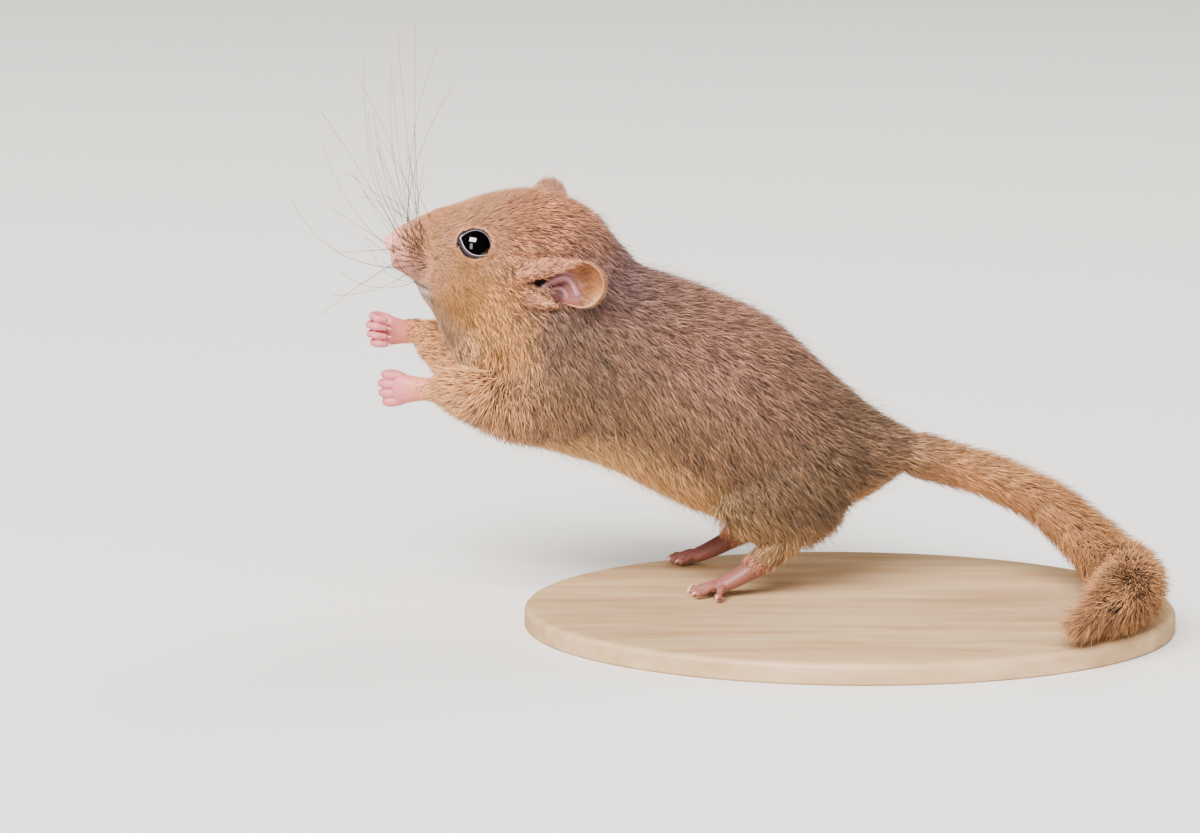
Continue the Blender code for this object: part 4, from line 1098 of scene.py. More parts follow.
# %% Length, lift and bare places
MOST_TRIANGLES_A_PIECE = 196000
# Hair length along a limb: shares of the way from the body to the paw, and the lengths there
ARM_HAIR = (0, 0.3, 0.6, 0.85, 1), (3.3, 3.0, 2.1, 0.9, 0.5)
LEG_HAIR = (0, 0.6, 0.85, 1), (3.5, 3.3, 1.8, 0.8)
EAR_HAIR = 1.0


def from_canal(points):
    """How far each point is from the nearer ear's canal."""
    least = np.full(len(points), FAR_AWAY)
    for side in (-1, 1):
        along, _, across = ear_ways(side)
        canal = EARS[side]["centre"] + along * (EAR_CANAL[0] - 0.6) + across * EAR_CANAL[1]
        least = np.minimum(least, np.linalg.norm(points - canal, axis=1))
    return least


def length_field():
    """Hair length over the skin: from the body's table, shortened along the arms, on the ears' folds and
    round the eyes."""
    length = rows_at(HAIR_LENGTH, np.clip(skin_station, 0, LAST_STATION))[:, 0]
    arm, leg, ear = skin_kind[:, KIND_ARM], skin_kind[:, KIND_LEG], skin_kind[:, KIND_EAR]
    length = length * (1 - arm) + arm * np.interp(skin_limb, *ARM_HAIR)
    length = length * (1 - leg) + leg * np.interp(skin_limb, *LEG_HAIR)
    length = length * (1 - ear) + ear * EAR_HAIR
    by_eye = 0.35 + 0.65 * ease(1.0, 2.0, skin_near_eye)
    by_canal = 0.4 + 0.6 * ease(1.0, 3.4, from_canal(skin_points))
    return length * (by_eye * by_canal)


def bare_field():
    """0 where nothing grows and 1 where the coat is full."""
    full = ease(0.97, 1.05, skin_near_eye) * ease(0.35, 0.8, skin_station) * skin_off_ear
    above, ahead = over_mouth(skin_points)
    full *= 1 - 0.9 * ahead * np.exp(-((above / 0.2) ** 2))
    full *= 1 - 0.85 * furrows(skin_points, skin_station)
    full *= 1 - nostrils(skin_points)
    return full * np.where(skin_kind[:, KIND_ARM] > 0.5, 1 - ease(0.95, 1.0, skin_limb), 1.0)


skin_length = length_field()
skin_full = bare_field()
print("hair from", round(skin_length.min(), 2), "to", round(skin_length.max(), 2), "mm")

# %% [markdown]
# Hairs gather into small wisps, and neighbours in a wisp lean and shine alike. That is what gives fur its
# grain. Space is divided into cells a millimetre and half a millimetre wide, warped so that no grid shows,
# and each cell has its own lean and brightness.

# %% Wisps
# A table of random numbers, and three primes that turn a cell's place into a row of it
WISP_TABLE = np.random.default_rng(5).normal(0, 1, (4099, 4))
CELL_PRIMES = np.array((7919, 104729, 1299709))


def wisp(points, size):
    """Four normal numbers for each point, the same for all points of one warped cell of the given size."""
    warped = points / size + 0.45 * np.sin(points[:, [1, 2, 0]] * 1.9 / size + (0.3, 1.7, 4.1))
    cell = np.floor(warped).astype(np.int64)
    return WISP_TABLE[(cell @ CELL_PRIMES) % len(WISP_TABLE)]


# %% Grow the coat, layer by layer
def tuft_width(thickness):
    """The width of a tuft at each point of the skin, a little less where the hair is long."""
    return (0.17 - 0.006 * skin_length) * thickness


def tufts_needed(where, layers, reach, thickness):
    """Tufts for each square millimetre at each point, so that their shapes cover it that many times
    over."""
    cover = tuft_width(thickness) * np.maximum(skin_length * reach, 0.4) * 0.5
    return skin_full * where * layers / cover


def on_surface(weight):
    """A weight for each point, summed over the skin's area."""
    return (skin_area * weight[skin_faces].mean(axis=1)).sum()


def grow(name, weight, seed, stretches, reach, rise, thickness, tones, stray):
    """Draws tufts and makes them in pieces that are small enough. A tuft of two stretches rises
    steeply and then lies over, and one of a single stretch is straight."""
    count = int(on_surface(weight))
    chosen, share = drawn_roots(count, weight, seed)
    rng = np.random.default_rng(seed + 1)
    fields = (skin_points, skin_station, skin_low, skin_kind, skin_limb, skin_length)
    root, station, low_side, kind, limb, length = (carried(field, chosen, share) for field in fields)
    normal = unit(carried(skin_normals, chosen, share))
    lean = wisp(root, 1.0) * 0.6 + wisp(root + 40.0, 0.5) * 0.6
    loose = 1 - 0.75 * carried(pad_share, chosen, share)[:, None]
    way = carried(skin_way, chosen, share) + (rng.normal(0, stray, (count, 3)) + lean[:, :3] * 0.14) * loose
    way = laid_on(way, normal)
    lying = ease(0.9, 2.6, length)
    raised = rng.normal(rise, 5.0, count) - 7.0 * kind[:, KIND_EAR]
    if stretches == 2:
        lifts = [np.radians(26.0 + 17.0 * lying + raised), np.radians(8.0 + 6.0 * lying + raised)]
    else:
        lifts = [np.radians(17.0 + 10.0 * lying + raised)]
    length = length * reach * rng.uniform(0.72, 1.15, count)
    wide = carried(tuft_width(thickness), chosen, share) * rng.uniform(0.75, 1.25, count)
    colour = coat_colour(root, station, low_side, kind, limb)
    bright = 1 + 0.32 * lean[:, 3] + rng.normal(0, 0.38, count)
    # Round the ear's canal the coat parts in gaps, and the hairs there are painted dark in patches, as the
    # shade in them
    bright *= 1 - 0.7 * ease(6.8, 3.2, from_canal(root)) * (wisp(root, 0.35)[:, 1] > 0.75)
    # Hairs in creases are painted darker, as shade
    bright = bright.clip(0.25, 2.0) * (1 - 0.3 * carried(crease_shade, chosen, share))
    colour = colour * bright[:, None]
    if tones is FURROW:
        colour = np.tile(DARK * 0.6, (count, 1))
    atlas = skin_atlas(kind, station, low_side, limb, np.sign(root[:, 1]))
    short = ease(1.5, 0.6, length)[:, None]
    made = []
    split = max(1, math.ceil(count * TRIANGLES_A_TUFT[stretches] / MOST_TRIANGLES_A_PIECE))
    for i in range(split):
        part = slice(i * count // split, (i + 1) * count // split)
        label = name if split == 1 else f"{name}_{i + 1}"
        lighter = [(tones[0][0] + 0.4 * short[part], tones[0][1]), *tones[1:]]
        made.append(blades(
            label, root[part] - normal[part] * 0.08, normal[part], way[part], length[part], wide[part],
            [angle[part] for angle in lifts], lighter, colour[part], atlas[part],
        ))
    print(name, count, "tufts in", split, "pieces")
    return made


limbs = np.clip(skin_kind[:, KIND_ARM] + skin_kind[:, KIND_LEG], 0, 1)
short_haired = ease(6.4, 5.8, skin_station) * (1 - limbs)
PLAIN = ((0.2, SLATE * 0.10), (0.8, SLATE * 0.02), (1.35, 0.0))
STRAIGHT = ((0.16, SLATE * 0.08), (1.6, 0.0))
GUARD = ((0.45, SLATE * 0.1), (0.9, 0.0), (1.5, 0.0))
FURROW = ((0.5, 0.0), (1.0, 0.0))
skin_furrow = furrows(skin_points, skin_station)
guard_places = ease(4.0, 7.0, skin_station) * (1 - 0.7 * skin_kind[:, KIND_ARM])
# Name, where, layers of cover, stretches, reach, rise in degrees, thickness, tones, stray
LAYERS = (
    ("coat_head", short_haired, 5.2, 1, 1.1, 0.0, 1.2, STRAIGHT, 0.17),
    ("coat_under", 1 - short_haired, 2.6, 2, 1.0, 0.0, 1.1, PLAIN, 0.17),
    ("coat_over", 1 - short_haired, 2.6, 1, 1.0, 2.0, 0.9, STRAIGHT, 0.2),
    ("coat_furrows", skin_furrow**2, 1.6, 1, 1.5, 4.0, 0.7, FURROW, 0.03),
    ("coat_guard", guard_places, 0.16, 2, 1.45, 15.0, 0.4, GUARD, 0.25),
)
# What these layers may have, so that the whole model stays under two million triangles
COAT_TRIANGLES = 1110000
weights = [
    tufts_needed(where, layers, reach, thickness)
    for _, where, layers, _, reach, _, thickness, _, _ in LAYERS
]
wanted = sum(on_surface(weight) * TRIANGLES_A_TUFT[layer[3]] for weight, layer in zip(weights, LAYERS))
afford = min(1.0, COAT_TRIANGLES / wanted)
print("coat wants", int(wanted), "triangles and gets", round(afford, 3), "of them")
coat = []
for number, (weight, layer) in enumerate(zip(weights, LAYERS)):
    name, _, _, *look = layer
    coat.extend(grow(name, weight * afford, 10 + 2 * number, *look))

# %% [markdown]
# In each furrow of the lip's pad the hairs are dark and lie end to end, so that the furrow reads as one
# line.

# %% Dark rows on the pad
HAIRS_A_FURROW = 15


def pad_rows(side, seed):
    """Hairs strewn along each furrow's ray: each is rooted at the skin's nearest point, moved along
    the surface to the ray, and laid towards the pad's rear."""
    rng = np.random.default_rng(seed)
    number = np.repeat(np.arange(len(FURROW_TURNS)), HAIRS_A_FURROW)
    near, far = furrow_ends(number)
    reach = near + rng.random(len(number)) ** 1.2 * (far - near)
    turn = FURROW_TURNS[number] + rng.normal(0, 0.012, len(number))
    wanted = np.stack([reach * np.cos(turn), reach * np.sin(turn)], axis=1)
    on_side = np.flatnonzero((skin_points[:, 1] * side > 0.3) & (skin_station < 4.3))
    seen = np.stack(from_pad(skin_points[on_side]), axis=1)
    spot = on_side[((wanted[:, None] - seen[None]) ** 2).sum(axis=2).argmin(axis=1)]
    short = wanted - np.stack(from_pad(skin_points[spot]), axis=1)
    normal = skin_normals[spot]
    move = np.stack([-short[:, 0], np.zeros(len(short)), short[:, 1]], axis=1)
    root = skin_points[spot] + move - normal * np.einsum("ij,ij->i", move, normal)[:, None] + normal * 0.12
    way = np.stack([np.cos(turn), np.zeros(len(turn)), -np.sin(turn)], axis=1)
    way = laid_on(way, normal)
    kept = (over_mouth(root)[0] > 0.4) & (reach > 1.0)
    count = kept.sum()
    length, wide = rng.uniform(0.8, 1.4, count), rng.uniform(0.06, 0.11, count)
    colour = np.tile(DARK, (count, 1)) * rng.uniform(0.8, 2.4, count)[:, None]
    spot = spot[kept]
    atlas = skin_atlas(
        skin_kind[spot], skin_station[spot], skin_low[spot], skin_limb[spot], np.full(count, side),
    )
    lifts = [np.radians(rng.uniform(4, 9, count))]
    name = "coat_rows_" + WORD[side]
    return blades(name, root[kept], normal[kept], way[kept], length, wide, lifts, FURROW, colour, atlas)


coat.extend(pad_rows(side, 70 + side) for side in (-1, 1))

# %% [markdown]
# ## Eyes
#
# The dormouse is a night animal, and its eye is a black bead that bulges from the head. The ball is one
# smooth surface with a wet gloss, and round it lie lids, a narrow dark ring drawn out to a point at the
# front corner.

# %% Eyeballs
pieces = {}


def add_piece(name, points, faces, material, replaced=None, colours=None):
    """Makes one smooth piece with its finish, and keeps it beside the name of the solid that it
    replaces."""
    obj = mesh_object(name, points, faces)
    obj.data.shade_smooth()
    if colours is not None:
        paint(obj, colours)
    obj.data.materials.append(material)
    pieces[name] = (obj, replaced)
    print(name, len(points), "points,", len(faces), "triangles")
    return obj


# Glass over a dark iris, as in a museum's models, with a wet film: an IOR of 1.5 and a coat of the same.
cornea = new_material(
    "wet_dark_cornea", Base_Color=(*linear("#040304"), 1), Roughness=0.03, IOR=1.5, Coat_Weight=1.0,
    Coat_Roughness=0.02,
)
for side in (-1, 1):
    centre, back, out, up = eye_frame(side)
    points, faces = ball(centre, (EYE_RADIUS,) * 3, (back, out, up), 64, 40)
    add_piece("eyeball_" + WORD[side], points, faces, cornea, "eye_" + WORD[side])

# %% Lids
# Lid: thin hairless skin, nearly black, with a wet edge whose lilac is a painted highlight.
lid_skin = painted_material("lid_skin", 0.2, 0.02, Roughness=0.4, IOR=1.4)
LID_BLACK, LID_HIGHLIGHT = linear("#120B0D"), linear("#B3A0B2")
# One lid in section, from beside the ball over its wet edge and its outer roll, then down the ball to under
# the skin: how far off the opening along the ball, how far out from the ball, and how much painted highlight
LID_SECTION = np.array([
    (-0.09, -0.5, 0.0), (-0.07, -0.08, 0.0), (-0.03, 0.04, 0.2), (0.01, 0.09, 1.0), (0.06, 0.1, 0.9),
    (0.12, 0.06, 0.1), (0.18, 0.03, 0.0), (0.26, 0.07, 0.08), (0.35, 0.09, 0.14), (0.46, 0.06, 0.06),
    (0.7, 0.04, 0.0), (1.0, 0.03, 0.0), (1.4, 0.02, 0.0), (1.8, 0.0, 0.0), (1.8, -0.5, 0.0),
    (0.3, -0.9, 0.0),
])


def lid_ring(side):
    """The section of the lid carried round the opening: the ball's radius and what is out from it, times
    the way to the edge turned along the ball by the angle of what is off it."""
    centre, back, out, up = eye_frame(side)
    edge, away, front = lid_edge()
    angle = LID_SECTION[None, :, :1] * (1 + 0.9 * front)[:, None, None] / EYE_RADIUS
    lifted = 0.28 * front[:, None, None] * ease(0.0, 0.3, LID_SECTION[None, :, :1])
    radius = EYE_RADIUS + LID_SECTION[None, :, 1:2] + lifted
    rings = radius * (unit(edge)[:, None] * np.cos(angle) + away[:, None] * np.sin(angle))
    rings = centre + rings @ np.stack([back, up, out])
    count, sides = rings.shape[:2]
    index = np.arange(count * sides).reshape(count, sides)
    after, ahead = np.roll(index, -1, axis=1), np.roll(index, -1, axis=0)
    both = np.roll(ahead, -1, axis=1)
    faces = np.concatenate([
        np.stack([index, after, both], -1).reshape(-1, 3),
        np.stack([index, both, ahead], -1).reshape(-1, 3),
    ])
    points = rings.reshape(-1, 3)
    # The painted highlight is strongest on the lower lid and at the front corner
    lower = 0.4 + 0.6 * ease(0.8, -0.4, edge[:, 1])
    light = (LID_SECTION[None, :, 2] * np.maximum(lower, front)[:, None]).ravel()
    return points, facing_out(points - centre, faces), light


for side in (-1, 1):
    points, faces, light = lid_ring(side)
    add_piece("eyelids_" + WORD[side], points, faces, lid_skin, None, blend(LID_BLACK, LID_HIGHLIGHT, light))

# %% [markdown]
# ## Ears
#
# Each ear is a thin cup of skin, blunt at the tip and drawn out to a stem at the root. Down gives it an
# orange cast inside, and near the root mauve folds lead to the canal. Its edge is painted pale, as a
# highlight where it catches the light, and the root and the canal are painted dark, as shade.

# %% Ear cups
# Folds inside the ear, as paths along it and across it, with each one's height and half width
EAR_FOLDS = (
    ((
        (-5.9, -0.5), (-5.3, 0.0), (-4.6, 0.4), (-3.8, 0.7), (-3.0, 0.85), (-2.4, 0.75), (-2.0, 0.4),
        (-1.7, -0.1), (-1.4, -0.7), (-1.0, -1.4),
    ), 0.7, 0.5),
    (((-3.4, 1.5), (-2.5, 1.65), (-1.7, 1.2), (-1.1, 0.3), (-0.6, -0.6)), 0.3, 0.4),
    (((-4.9, -0.8), (-4.2, -0.6), (-3.5, -0.65), (-2.9, -1.0), (-2.4, -1.6)), 0.3, 0.4),
)


def from_path(x, y, path):
    """How far each place is from a path of straight stretches: the least distance to any of them."""
    least = np.full(np.shape(x), FAR_AWAY)
    for (ax, ay), (bx, by) in zip(path, path[1:]):
        dx, dy = bx - ax, by - ay
        along = np.clip(((x - ax) * dx + (y - ay) * dy) / (dx**2 + dy**2), 0, 1)
        least = np.minimum(least, np.hypot(x - ax - along * dx, y - ay - along * dy))
    return least


def ear_sheet(side):
    """The ear's inner face on a grid of share from the middle and turn round it: along the ear the reach is
    shorter to the tip than to the root, across it the half height narrows to the root, and the depth of the
    cup falls off with the square of the share, with a fine roll at the rim. Each fold adds a bell curve of
    the distance from its path."""
    along, normal, across = ear_ways(side)
    share = np.linspace(0.03, 1.0, 72)[:, None]
    turn = np.linspace(0, 2 * math.pi, 200, endpoint=False)[None]
    far = np.where(np.cos(turn) > 0, EAR_TIP, EAR_ROOT)
    narrow = 1.0 - EAR_NARROWING * np.clip(-np.cos(turn), 0, 1) ** 1.2
    x = far * np.cos(turn) * share
    y = EAR_HALF_HEIGHT * np.sin(turn) * narrow * share
    fold = np.zeros(x.shape)
    for path, height, half in EAR_FOLDS:
        fold = np.maximum(fold, height * np.exp(-((from_path(x, y, path) / half) ** 2)))
    depth = -EAR_DEPTH * (1 - share**2) + 0.22 * ease(0.86, 1.0, share) - 1.1 * ease(-2.6, -5.4, x)
    depth = depth + fold * ease(1.0, 0.9, share)
    grid = EARS[side]["centre"] + x[..., None] * along + y[..., None] * across + depth[..., None] * normal
    return grid, x, y, np.broadcast_to(share, x.shape), fold


def ear_cup(side):
    """The inner face and, a thickness behind it, the outer one, joined round the rim."""
    normal = ear_ways(side)[1]
    grid, x, y, share, fold = ear_sheet(side)
    behind = grid - normal * (EAR_THICKNESS + fold[..., None] * 0.8)
    behind[-1] = grid[-1] - normal * EAR_THICKNESS * 0.7
    rings = np.concatenate([grid, behind[::-1]])
    points, faces = closed_tube(rings, grid[0].mean(axis=0), behind[0].mean(axis=0))
    # Faint streaks run slantwise over the cup: a coarse wave that wanders, and a fine one
    slant = x * 0.6 + y * 0.8
    streak = 0.6 * np.sin(9.0 * slant + 1.3 * np.sin(1.7 * x)) + 0.4 * np.sin(17.3 * slant + 2.0)
    inside = blend(linear("#95592F"), linear("#C08A60"), ease(0.4, 0.9, share) * ease(0.4, -2.4, y))
    inside = inside * (1 + 0.16 * streak)[..., None]
    # Towards the root the cup turns mauve brown and then darker, partly painted shade under the upper fold
    inside = blend(inside, linear("#7C4440"), ease(-0.3, -1.6, x + 0.35 * y))
    inside = blend(inside, linear("#4A2222"), ease(-2.2, -3.4, x))
    inside = blend(inside, linear("#9A6870"), ease(0.03, 0.55, fold))
    # The canal is painted near black, as the shade inside it
    inside = blend(inside, linear("#140A0A"), ease(-4.7, -5.7, x) * ease(0.5, 0.2, fold))
    # The edge is painted pale, as a highlight where it catches the light
    inside = blend(inside, linear("#E0A070"), ease(0.95, 0.99, share) * ease(-2.6, -1.0, x))
    # The outer face is painted paler towards its rim, as a highlight
    outside = blend(linear("#B8806A"), linear("#F0B894"), ease(0.75, 1.0, share))
    outside = blend(outside, linear("#5A3A2A"), ease(-2.0, -3.6, x))
    colours = [inside.reshape(-1, 3), outside[::-1].reshape(-1, 3), inside[0, :1], outside[0, :1]]
    return points, faces, np.concatenate(colours)


# Hairs drawn on each face of an ear, before the bare places are left out
DOWN_INSIDE, DOWN_OUTSIDE = 2600, 3000


def ear_down(side, outside, count, seed):
    """Fine hair on one face of the ear: it lies from the root of the ear to its rim, and fringes the
    rim."""
    along, normal, _ = ear_ways(side)
    grid, x, _, share, fold = ear_sheet(side)
    rng = np.random.default_rng(seed)
    row = (len(grid) * rng.random(count) ** 0.6).astype(int).clip(4)
    column = rng.integers(0, grid.shape[1], count)
    keep = (x[row, column] > (-3.4 if outside else -0.9)) & (outside | (fold[row, column] < 0.1))
    row, column = row[keep], column[keep]
    root = grid[row, column] - normal * (EAR_THICKNESS * outside)
    away = unit(grid[row, column] - grid[row - 3, column])
    rim = ease(0.88, 1.0, share[row, column])
    way = unit(blend(away * 0.5 + along, away, rim) + rng.normal(0, 0.16, away.shape))
    facing = laid_on(np.broadcast_to(-normal if outside else normal, way.shape), way)
    length = rng.uniform(0.8, 1.4, len(row)) * (1 - 0.5 * rim)
    # The down is painted paler towards the rim, as a highlight where the edge catches the light
    base, tip = ("#A87258", "#DBA07C") if outside else ("#A0662F", "#E8AC74")
    colour = blend(linear(base), linear(tip), rim) * rng.normal(1, 0.2, len(row)).clip(0.5, 1.6)[:, None]
    across_map = 0.815 + 0.014 * outside + 0.012 * column / grid.shape[1]
    up_map = 0.05 + 0.5 * (side > 0) + 0.4 * share[row, column]
    atlas = np.stack([across_map, up_map], axis=1)
    lifts = [np.radians(rng.uniform(3, 10, len(row)) + 8 * rim)]
    name = f"coat_ear_{'outer' if outside else 'inner'}_{WORD[side]}"
    wide = rng.uniform(0.06, 0.1, len(row)) * (1.0 if outside else 0.75)
    return blades(name, root, facing, way, length, wide, lifts, ((0.55, 0.0), (1.25, 0.0)), colour, atlas)


for side in (-1, 1):
    points, faces, colours = ear_cup(side)
    add_piece("ear_cup_" + WORD[side], points, faces, ear_skin, "ear_" + WORD[side], colours)
    coat.append(ear_down(side, False, DOWN_INSIDE, 80 + side))
    coat.append(ear_down(side, True, DOWN_OUTSIDE, 90 + side))

# %% [markdown]
# ## Nose
#
# The nose is a small bare pad with a comma-shaped nostril on each side and a groove down its middle.

# %% Nose pad
def nose_pad():
    """A ball over the tip of the snout, drawn in at each nostril and along the groove."""
    centre, radii = np.array((-49.45, -0.15, 49.35)), (1.75, 1.85, 1.6)
    points, faces = ball(centre, radii, np.eye(3), 96, 72)
    way = unit((points - centre) / radii)
    groove = np.exp(-((way[:, 1] / 0.08) ** 2)) * ease(0.3, -0.5, way[:, 2]) * ease(0.0, -0.5, way[:, 0])
    hole = nostrils(points)
    tone = blend(linear("#E6A196"), linear("#BC6E66"), groove)
    points = centre + (points - centre) * (1 - 0.35 * hole - 0.12 * groove)[:, None]
    # The nostrils are painted dark, as the shade inside them
    return points, faces, blend(tone, NOSTRIL_SHADE, np.clip(1.2 * hole, 0, 1))


points, faces, tone = nose_pad()
add_piece("nose_pad", points, faces, bare, "nose", tone)

# %% [markdown]
# ## Paws
#
# Hands and feet are bare and pink, with slim toes that end in soft pads and a short pale claw. Each paw is
# a handful of tubes melted together on a fine grid.

# %% Hands
WRIST_STATION = 4.7
# For each finger from the top one down: how far it stands above the palm's middle, and how far its knuckle
# is out
FINGER_RISES = (1.85, 0.65, -0.6, -1.75)
KNUCKLE_REACHES = (2.3, 2.8, 2.7, 2.2)
FINGER_RADIUS, CLAW_RADIUS, CLAW_TIP, CLAW_LENGTH = 0.6, 0.2, 0.04, 0.65
PAW_GRID = 0.12


def hand_shells(side):
    """The palm, the four fingers curled inwards as in a loose fist, and the claws on their own."""
    arm = sided(ARMS[side], side)
    wrist, beyond = rows_at(arm, (WRIST_STATION, WRIST_STATION + 0.1))[:, :3]
    way = unit(beyond - wrist)
    palm = [
        (*(wrist - way * 3.0), 1.4, 1.65),
        (*(wrist - way * 1.0), 1.35, 1.6),
        (*(wrist + way * 1.2), 1.45, 1.9),
        (*(wrist + way * 2.8), 1.5, 2.3),
    ]
    shells, claws = [limb_tube(np.array(palm), 28, 24)], []
    inward, upward = np.array((0.0, -side, 0.0)), np.array((0.0, 0.0, 1.0))
    front = wrist + way * 2.9
    for rise, reach in zip(FINGER_RISES, KNUCKLE_REACHES):
        root = front + upward * rise
        spread = upward * rise * 0.08
        stops = (
            root - inward * 0.3,
            root + way * reach * 0.72 + spread - inward * 0.5,
            root + way * reach + spread + inward * 0.7,
            root + way * reach * 0.6 + spread * 0.5 + inward * 2.0,
            root + way * reach * 0.1 + inward * 2.3,
        )
        radii = FINGER_RADIUS * np.array((1.05, 1.12, 0.84, 0.92, 0.7))
        shells.append(limb_tube(np.array([(*s, r, r) for s, r in zip(stops, radii)]), 16, 24, (0.01, 0, 1)))
        tip = stops[-1] - way * 0.3
        claw = [
            (*tip, CLAW_RADIUS, CLAW_RADIUS),
            (*(tip - way * CLAW_LENGTH * 0.5 + inward * 0.05), CLAW_RADIUS * 0.7, CLAW_RADIUS * 0.7),
            (*(tip - way * CLAW_LENGTH + inward * 0.2), CLAW_TIP, CLAW_TIP),
        ]
        claws.append(limb_tube(np.array(claw), 10, 8, (0.01, 0, 1)))
    return shells, claws, wrist, way


# %% Feet
TOE_ANGLES = (-22.0, -7.0, 8.0, 24.0, 74.0)
TOE_LENGTHS = (3.6, 4.5, 4.7, 4.3, 3.4)
TOE_RADIUS = 0.62


def foot_shells(side):
    """The instep, the five toes with a ball at each tip, and the claws on their own. Toes arch up between
    ball and tip."""
    path = sided(FOOT, side)
    if side > 0:
        path[:, 0] -= RIGHT_FOOT_AHEAD
    shells, claws = [limb_tube(path, 28, 24)], []
    ball_of_foot = path[-1, :3]
    for angle, length in zip(TOE_ANGLES, TOE_LENGTHS):
        a = math.radians(angle)
        way = np.array((-math.cos(a), side * math.sin(a), 0.0))
        sideways = np.array((0.35 - abs(math.sin(a)) * 0.4, side * math.sin(a) * 1.4, 0.0))
        root = ball_of_foot + sideways + np.array((0.6, 0.0, 0.0))
        across = (way[1], -way[0], 0.0)
        stops = ((0.0, 1.05, 1.0), (0.45, 1.3, 0.86), (0.8, 0.74, 0.8), (1.0, 0.6, 0.86))
        table = [(*(root + way * length * s)[:2], z, TOE_RADIUS * r, TOE_RADIUS * r) for s, z, r in stops]
        shells.append(limb_tube(np.array(table), 16, 22, across))
        shells.append(ball(np.array(table[-1][:3]), (0.62, 0.6, 0.55), sides=16, rings=10))
        tip = root + way * (length + 0.35)
        claw = [
            (*tip[:2], 0.78, CLAW_RADIUS, CLAW_RADIUS),
            (*(tip + way * CLAW_LENGTH * 0.6)[:2], 0.68, CLAW_RADIUS * 0.7, CLAW_RADIUS * 0.7),
            (*(tip + way * CLAW_LENGTH)[:2], 0.3, CLAW_TIP, CLAW_TIP),
        ]
        claws.append(limb_tube(np.array(claw), 10, 8, across))
    return shells, claws, path


# %% Melt and colour the paws
# Claw: a sliver of horn, smooth and half clear, pale at this size.
horn = new_material("claw_horn", Base_Color=(*linear("#D9B7A4"), 1), Roughness=0.3, IOR=1.54)
# Creases are painted a darker red, partly the redder skin there and partly painted shade, and bumps such as
# knuckles are painted pale, as a highlight
SKIN_PINK, SKIN_RED_SHADE, SKIN_HIGHLIGHT = linear("#CF747C"), linear("#9A444C"), linear("#F2C2C6")
WRIST, HEEL, INSTEP = linear("#D98468"), linear("#66422F"), linear("#8E5850")


def paw_piece(name, shells, replaced, start, way, first, pink, fade):
    """One melted paw, painted redder and darker in its creases, partly as shade, and paler on its bumps,
    such as knuckles and pads, as a highlight, and of a colour of its own near the limb."""
    paw = blended(mesh_object(name, *joined(shells)), PAW_GRID, 3)
    points, faces, normals = mesh_arrays(paw)
    hollow = np.einsum("ij,ij->i", averaged(points, mesh_edges(paw), 10) - points, normals)
    tone = blend(pink, SKIN_RED_SHADE * 0.9, ease(-0.02, 0.16, hollow))
    tone = blend(tone, SKIN_HIGHLIGHT, ease(-0.06, -0.2, hollow))
    tone = blend(first, tone, ease(0.0, fade, (points - start) @ way))
    paint(paw, tone)
    paw.data.materials.append(bare)
    pieces[name] = (paw, replaced)
    print(name, len(points), "points,", len(faces), "triangles")


for side in (-1, 1):
    shells, claws, wrist, way = hand_shells(side)
    name = "hand_skin_" + WORD[side]
    paw_piece(name, shells, "hand_" + WORD[side], wrist - way * 0.5, way, WRIST, SKIN_PINK, 4.0)
    add_piece("hand_claws_" + WORD[side], *joined(claws), horn)
    shells, claws, path = foot_shells(side)
    way = unit(path[-1, :3] - path[0, :3])
    paw_piece("foot_skin_" + WORD[side], shells, "foot_" + WORD[side], path[1, :3], way, HEEL, INSTEP, 9.0)
    add_piece("foot_claws_" + WORD[side], *joined(claws), horn)

# %% [markdown]
# ## Tail
#
# The tail is furred all round with longer hair that stands off like a bottle brush, fuller towards the end.
# A bare core runs through it, and the hairs rise from the core at a low angle and sweep to the tip.

# %% The tail's line
TAIL = np.array([
    (23.2, 0.0, 19.1, 3.4),
    (29.6, 0.0, 17.3, 3.5),
    (36.6, -0.8, 15.2, 3.7),
    (43.4, -3.0, 12.2, 4.1),
    (48.4, -7.2, 8.6, 4.6),
    (51.6, -13.0, 5.8, 5.0),
    (53.2, -19.8, 5.0, 5.1),
    (52.8, -26.8, 4.9, 5.0),
    (50.2, -33.2, 4.5, 4.5),
    (46.4, -38.2, 3.5, 3.2),
])


def tail_frame(share):
    """Middle, way backwards, side and up of the tail, and its coat's radius, at shares of its length."""
    where = np.atleast_1d(np.asarray(share, float)) * (len(TAIL) - 1)
    rows = rows_at(TAIL, where)
    ahead = rows_at(TAIL, np.minimum(where + 0.05, len(TAIL) - 1))[:, :3]
    behind = rows_at(TAIL, np.maximum(where - 0.05, 0))[:, :3]
    along = unit(ahead - behind)
    side = unit(np.cross(along, (0.0, 0.0, 1.0)))
    return rows[:, :3], along, side, np.cross(side, along), rows[:, 3]


# Along the tail's line, in millimetres
TAIL_LENGTH = 66.0


def tail_core_radius(share):
    """The core's radius: two thirds of the coat at the root, a third along the tail, closing at the tip."""
    coat = tail_frame(share)[4]
    return coat * (0.34 + 0.36 * ease(0.12, 0.0, share)) * (0.04 + 0.96 * ease(1.0, 0.86, share))


shares = np.linspace(0.0, 1.0, 120)
middle, along, side_way, up_way, radius = tail_frame(shares)
turn = np.linspace(0, 2 * math.pi, 28, endpoint=False)
core = tail_core_radius(shares)
rings = rings_round(middle, side_way, up_way, core, core, turn)
points, faces = closed_tube(rings, middle[0], middle[-1])
tones = np.tile(linear("#8A6240") * 0.9, (len(points), 1))
add_piece("tail_core", points, faces, hide, ("tail_root", "tail_middle", "tail_tip"), tones)


